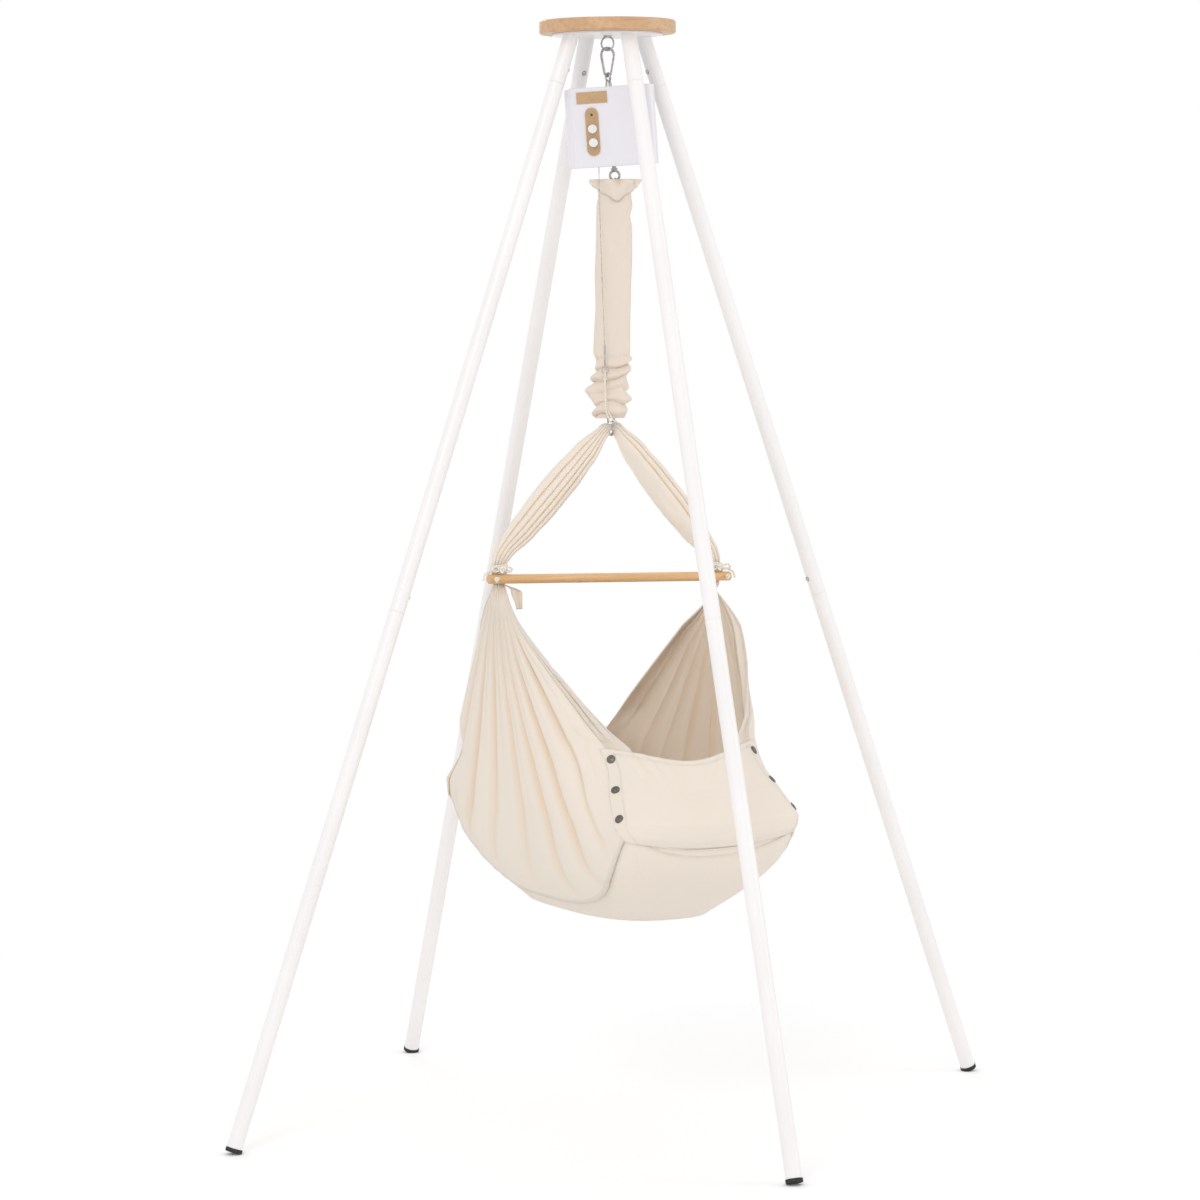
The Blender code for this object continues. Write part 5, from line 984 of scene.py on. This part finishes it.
def build_pad(material, rings=34, columns=120):
    """The mattress: a quilted top with rounded sides, narrower where it rests on the tub's floor."""
    grid = []
    for k in range(rings):
        t = k / (rings - 1)
        height = 0.04 * sin(pi / 2 * clamp((t - 0.05) / 0.38)) if t > 0.05 else 0.0
        side = mix(0.74, 0.93, clamp(t / 0.22)) + 0.07 * sin(pi * clamp(t / 0.45)) ** 0.8
        share = side if t < 0.45 else mix(0.93, 0.01, ((t - 0.45) / 0.55) ** 1.2)
        wide, reach = PAD_HALF[0] * share, PAD_HALF[1] * (share + (1 - share) * 0.12 * (share > 0.5))
        rise = FLOOR_Z + LAYER + height + 0.005 * ease(0.4, 0.95, t)
        ring = []
        for c in range(columns):
            angle = tau * (c + 0.5) / columns
            point = plan_point((wide, reach, PAD_SQUARE), angle, -1 if cos(angle) > 0 else 1)
            quilt = pleat(point.x / QUILT + 0.5) * pleat(point.y / QUILT + 0.5) * ease(0.45, 0.62, t)
            ring.append(point + up(rise + 0.0016 * quilt))
        grid.append(ring)
    vertices = [p for ring in grid for p in ring]
    faces, _ = ring_faces(rings, columns, range(rings))
    uvs = [(vertices[k].x, vertices[k].y + vertices[k].z * (len(face) == 4)) for face in faces for k in face]
    pad = finish_mesh("mattress_pad", vertices, faces, uvs, material,
                      attributes={"hem": [1.0] * len(vertices), "run": [0.0] * len(vertices)})
    if sum(face.normal.z for face in pad.data.polygons[:-1]) < 0:
        pad.data.flip_normals()
    settle(pad, "mattress")


def build_sleeve(material):
    ends = ("lift", "cradle", (*SPRING_TOP.xy, 1.722), (0, 0, 1.33))
    hose = cloth_piece("sleeve_cloth", sleeve_grid(), material, lambda p: from_middle(p - spring_axis(p.z)),
                       SLEEVE_LAYER, around=True)
    sheet_piece(hose, "sleeve", ends)
    cuff = cloth_piece("sleeve_cuff", cuff_grid(), material, lambda p: NEAR, SLEEVE_LAYER,
                       hems=(0, 0.0035, 0, 0))
    sheet_piece(cuff, None, ends)


def build_spring(material):
    """A closely wound coil between two hooks."""
    hook, turns, per_turn, radius = 0.0062, 46, 20, 0.013
    side = Matrix.Rotation(BOX_AZIMUTH + pi / 2, 3, "Z") @ vec(1, 0, 0)
    top, low = SPRING_TOP.z - 2 * hook - 0.013, SPRING_BOTTOM.z + 2 * hook + 0.013

    def bend(centre, way, start, end):
        angles = [radians(mix(start, end, k / 18)) for k in range(19)]
        return [centre + way * (hook * cos(a)) + up(hook * sin(a)) for a in angles]

    points = bend(SPRING_TOP - up(hook), side, -40, 180)
    for k in range(turns * per_turn + 1):
        a = BOX_AZIMUTH - pi / 2 + tau * k / per_turn
        way = vec(cos(a), sin(a), 0)
        points.append(spring_axis(mix(top, low, k / (turns * per_turn))) + way * radius)
    points += bend(SPRING_BOTTOM + up(hook), vec(-1, 0, 0), 0, -220)
    coil = sweep("spring_coil", points, 0.0015, material, 8)
    settle(coil, "spring", ("lift", "cradle", (*SPRING_TOP.xy, top), (0, 0, low)))


def build_safety_line(metal_finish, cord_finish):
    """The steel wire beside the sleeve, its ferrule, and the cord from the ring to the apex hook."""
    ring_low, ring_high = (Vector(corner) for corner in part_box("key_ring"))
    ring, half = (ring_low + ring_high) / 2, (ring_high.z - ring_low.z) / 2
    foot = ring + up(half + 0.0003)
    turn = Matrix.Rotation(radians(-3.8), 4, "Y") @ Matrix.Rotation(BOX_AZIMUTH, 4, "Z")
    exit_point = Matrix.Translation((0, 0, 1.93012)) @ turn @ vec(-0.028, -0.03, -0.1712)
    exit_point.z = min(exit_point.z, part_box("safety_cable")[1][2])
    stops = [exit_point] + [ACROSS * a + NEAR * n + up(z) for z, a, n in
                            ((1.7, -0.0172, 0.0315), (1.6, -0.015, 0.029), (1.51, -0.0125, 0.0285))]
    stops.append(vec(foot.x, foot.y, 1.4336))
    line = smooth_route(stops, 14)
    cut = min(range(len(line)), key=lambda k: abs(line[k].z - 1.716))
    cord_piece("safety_wire_top", line[:cut + 1], WIRE_R, metal_finish,
               ends=("motor", "lift", tuple(line[0]), tuple(line[cut])), sides=8)
    heights = (1.433, 1.4322, 1.4312, foot.z + 0.0012, foot.z + 0.0004, foot.z)
    ferrule = sweep("safety_ferrule", [vec(foot.x, foot.y, z) for z in heights], 0.0018, metal_finish, 14,
                    [0.5, 0.9, 1.0, 1.0, 0.9, 0.5])
    settle(ferrule)
    cord_piece("safety_wire", line[cut:], WIRE_R, metal_finish, "safety_cable",
               ("lift", "cradle", tuple(line[cut]), (foot.x, foot.y, 1.44)), 8)
    low_wire = ring - up(half - 0.0009)

    def by_ring(near, z):
        return low_wire + NEAR * near + up(z)

    route = [by_ring(-0.001, 0.0027), by_ring(0.0026, 0), by_ring(0.0022, -0.03)]
    route += [Vector(p) for p in (
        (-0.0225, -0.0262, 1.31), (-0.0135, -0.0225, 1.2905), (-0.005, -0.0116, 1.2895), (0, -0.0058, 1.2892),
        (0.005, -0.0126, 1.2895), (-0.0045, -0.024, 1.29), (-0.018, -0.0252, 1.31))]
    route += [by_ring(-0.0022, -0.03), by_ring(-0.0027, 0), by_ring(-0.0004, 0.0028)]
    knot = knot_piece("cable_knot", by_ring(0, -0.011), 0.0022, 0.0014, cord_finish)
    cord_piece("cable_cord_line", smooth_route(route, 6), 0.0014, cord_finish, "cable_cord")


def knot_piece(name, centre, size, radius, material):
    """An overhand knot drawn tight."""
    points = []
    for k in range(72):
        t = tau * k / 72
        p = vec(sin(t) + 2 * sin(2 * t), -sin(3 * t) * 1.2, cos(t) - 2 * cos(2 * t))
        points.append(centre + p * (size / 3))
    return settle(sweep(name, points, radius, material, 10, closed=True))


# Each tie's cord and bow, as (distance from the bar's end, y, z) from the bar's middle line
TIE_ROUTE = (
    (0.0115, -0.0105, 0), (0.0115, 0.011, 0), (0.008, 0.016, 0.005), (0.0115, 0.0205, 0.0115),
    (0.027, 0.0215, 0.014), (0.043, 0.02, 0.0145), (0.047, 0.013, 0.0145), (0.043, 0.0035, 0.0145),
    (0.027, 0.0005, 0.0145), (0.012, 0.001, 0.0145), (0.003, 0.001, 0.013), (-0.0065, 0.0000, 0.008),
    (-0.01, -0.0015, -0.003))
BOW_ROUTE = (
    (0.025, -0.003, 0.0185), (0.033, -0.008, 0.023), (0.043, -0.009, 0.02),
    (0.042, -0.007, 0.0135), (0.03, -0.0045, 0.015), (0.02, -0.004, 0.019),
    (0.01, -0.008, 0.023), (0.004, -0.008, 0.017), (0.012, -0.005, 0.014), (0.025, -0.0035, 0.016))


def build_bar_ties(material):
    """At each end of the bar: a cord through it, knotted in front, and wraps and a bow round the cloth."""
    for sign in (-1, 1):
        def at_bar(d, y, z):
            return bar_place() @ vec(sign * (BAR_LENGTH / 2 - d), y, z)
        side = side_of(sign)
        knot = knot_piece(f"bar_knot_{side}", at_bar(BAR_HOLE_FROM_END, -0.0135, 0), 0.0036, 0.0021, material)
        tie, bow = (smooth_route([at_bar(*p) for p in route], steps)
                    for route, steps in ((TIE_ROUTE, 6), (BOW_ROUTE, 8)))
        cord_piece(f"bar_cord_{side}_line", tie, 0.0018, material, f"bar_cord_{side}")
        settle(sweep(f"tie_bow_{side}", bow, 0.0019, material, 10))
        knot_piece(f"tie_knot_{side}", at_bar(0.0255, -0.006, 0.0175), 0.0052, 0.003, material)
        for k, lift in enumerate((0.0, 0.0055, 0.0105)):
            turns = [tau * step / 48 for step in range(48)]
            coil = [at_bar(TIE_FROM_END + 0.0145 * cos(a), 0.01 + 0.0078 * sin(a),
                           0.0125 + lift + 0.0018 * sin(a + k)) for a in turns]
            settle(sweep(f"tie_wrap_{side}_{k}", coil, 0.0026, material, 10, closed=True))


def build_tie_tab(material):
    """The small flap of cloth that hangs under the bar's left end."""
    def point(t, c):
        spot = tie_point(-1) + vec(mix(0.015, 0.048, ease(0.0, 0.45, t)), 0.012, -0.012 - 0.046 * t ** 1.3)
        wide = mix(0.004, 0.024, ease(0.0, 0.4, t)) * mix(1.0, 0.55, ease(0.5, 1.0, t))
        return spot + vec(-wide * c, 0.0035 * sin(5.5 * c) + 0.001 * c, 0.006 * c * sin(pi * t))
    tab = cloth_piece("tie_tab", grid_of(30, 10, point), material, lambda p: vec(0, -1, 0), thickness=0.0012)
    sheet_piece(tab, None)


# Stage

AMBIENT = 0.9
FLOOR_GLOW = 0.06
FLOOR_SIDE = 60.0
FADE_FROM, FADE_TO = 0.9, 2.4
CAMERA_AT = (-3.4957, -6.8608, 1.5157)
CAMERA_AHEAD = (0.45014, 0.89003, -0.07224)
CAMERA_RIGHT = (0.89203, -0.45188, -0.00898)
LAMPS = {  # place, height of the target, size and power
    "key": ((-4.2, -4.6, 4.4), 1.0, 3.2, 84),
    "fill": ((4.6, -3.2, 2.6), 1.0, 3.0, 30),
    "back": ((1.5, 5.0, 3.6), 1.1, 3.0, 40),
}


def add_camera():
    data = bpy.data.cameras.new("camera")
    data.sensor_width = 36.0
    data.lens = 124.69
    data.clip_end = 200
    camera = add_object("camera", data)
    ahead, right = Vector(CAMERA_AHEAD).normalized(), Vector(CAMERA_RIGHT).normalized()
    turn = Matrix((right, right.cross(ahead), -ahead)).transposed().to_4x4()
    camera.matrix_world = Matrix.Translation(CAMERA_AT) @ turn
    bpy.context.scene.camera = camera


def add_lamps():
    for name, (place, target, size, power) in LAMPS.items():
        data = bpy.data.lights.new(name, "AREA")
        data.shape = "DISK"
        data.size = size
        data.energy = power
        ahead = up(target) - Vector(place)
        turn = ahead.to_track_quat("-Z", "Y").to_matrix().to_4x4()
        add_object(name, data).matrix_world = Matrix.Translation(place) @ turn


def add_world():
    world = bpy.data.worlds.new("studio")
    world.use_nodes = True
    nodes = Nodes(world.node_tree)
    back = nodes.tree.nodes["Background"]
    back.inputs["Color"].default_value = (1, 1, 1, 1)
    nodes.feed(back.inputs["Strength"], nodes.between(nodes.seen(), 0.0, 1.0, AMBIENT, 1.0))
    bpy.context.scene.world = world


def add_floor():
    """A pale floor with a faint glow, which turns white away from the object for rays that see it."""
    mesh = bpy.data.meshes.new("floor")
    a = FLOOR_SIDE
    mesh.from_pydata([(-a, -a, 0), (a, -a, 0), (a, a, 0), (-a, a, 0)], [], [(0, 1, 2, 3)])
    f = Finish("floor", (0.93, 0.93, 0.93), 0.9)
    f.use(Specular_IOR_Level=0.0)
    eye = f.seen()
    reach = f.node("VectorMath")
    reach.operation = "LENGTH"
    f.feed(reach.inputs[0], f.node("TexCoord").outputs["Object"])
    away = f.node("MapRange", Value=reach.outputs["Value"], From_Min=FADE_FROM, From_Max=FADE_TO)
    away.interpolation_type = "SMOOTHSTEP"
    glow = f.node("Emission", Strength=f.times(eye, FLOOR_GLOW))
    total = f.node("AddShader")
    f.feed(total.inputs[0], f.shader.outputs[0])
    f.feed(total.inputs[1], glow.outputs[0])
    f.show(f.times(away.outputs[0], eye), total, f.node("Emission"))
    mesh.materials.append(f.material)
    add_object("floor", mesh)


bpy.context.scene.view_settings.view_transform = "Standard"
add_camera()
add_world()
add_lamps()
add_floor()
WHITE = (0.89, 0.866, 0.86)
ECRU = (0.95, 0.87, 0.775)
tube_white = painted("tube_white", WHITE, 0.38, coat=0.1)
case_white = painted("case_white", (0.79, 0.768, 0.81), 0.22, 2600, 0.00002, 0.4)
knob_white = painted("knob_white", (0.84, 0.83, 0.84), 0.3, 2000, 0.00002, 0.3)
cap_black = painted("cap_black", (0.018, 0.018, 0.018), 0.65, 800, 0.0001)
socket_black = painted("socket_black", (0.02, 0.02, 0.02), 0.45)
board_green = painted("board_green", (0.03, 0.16, 0.06), 0.4)
lens_green = painted("lens_green", (0.03, 0.1, 0.05), 0.12, coat=0.6)
beech = wood("beech", (0.69, 0.44, 0.25), (0.54, 0.31, 0.16))
bar_beech = wood("bar_beech", (0.76, 0.48, 0.235), (0.64, 0.37, 0.16), squeeze=(6, 260, 260))
trim_beech = wood("trim_beech", (0.6, 0.4, 0.215), (0.45, 0.27, 0.13), squeeze=(30, 700, 700))
bright_steel = metal("bright_steel", (0.6, 0.59, 0.57), 0.3)
dark_steel = metal("dark_steel", (0.5, 0.49, 0.48), 0.32)
gunmetal = metal("gunmetal", (0.19, 0.17, 0.155), 0.38, (700, 700, 700), 0.6)
ecru = cloth("ecru_cloth", ECRU)
sleeve_cloth = cloth("sleeve_cotton", (0.9, 0.8, 0.7), (0.002, 0.0016), 0.00012, 0.93)
pad_cloth = cloth("pad_cotton", (0.89, 0.83, 0.75), (0.003, 0.003), 0.0002, 0.93)
white_cord = twisted("white_cord", (0.9, 0.83, 0.72))

FINISHES = {
    tube_white: ["top_plate"] + [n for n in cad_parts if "_leg_" in n],
    cap_black: [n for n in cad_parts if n.startswith("foot_cap")],
    beech: ["top_disc"],
    bar_beech: ["spreader_bar"],
    trim_beech: ["blank_plate", "control_panel"],
    case_white: ["motor_front", "motor_back"],
    knob_white: ["knob_power", "knob_strength"],
    lens_green: ["led_lens"],
    socket_black: ["power_inlet"],
    board_green: ["control_board"],
    dark_steel: ["top_hook", "top_hook_gate", "swivel_eye", "lift_rod", "gearmotor", "drive_pinion"],
    bright_steel: ["eye_bolt", "eye_nut", "key_ring", "apex_hook", "apex_hook_gate", "casing_screw_upper",
                   "casing_screw_lower"] + [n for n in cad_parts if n.startswith("snap_")],
}
for finish, names in FINISHES.items():
    for name in names:
        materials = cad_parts[name].data.materials
        materials.clear()
        materials.append(finish)

build_sides("fan", fan_grid, ecru, lambda sign: vec(sign, 0, 0), LAYER,
            (0, 0.009, 0, 0.02))
build_sides("strap", strap_grid, ecru, lambda sign: vec(0, -1, 0), 0.0014,
            (0, 0, 0, 0.004))
build_studs(build_end_panels(ecru), gunmetal)
build_tub(ecru)
build_pad(pad_cloth)
build_sleeve(sleeve_cloth)
build_spring(dark_steel)
build_safety_line(bright_steel, white_cord)
build_bar_ties(white_cord)
build_tie_tab(ecru)
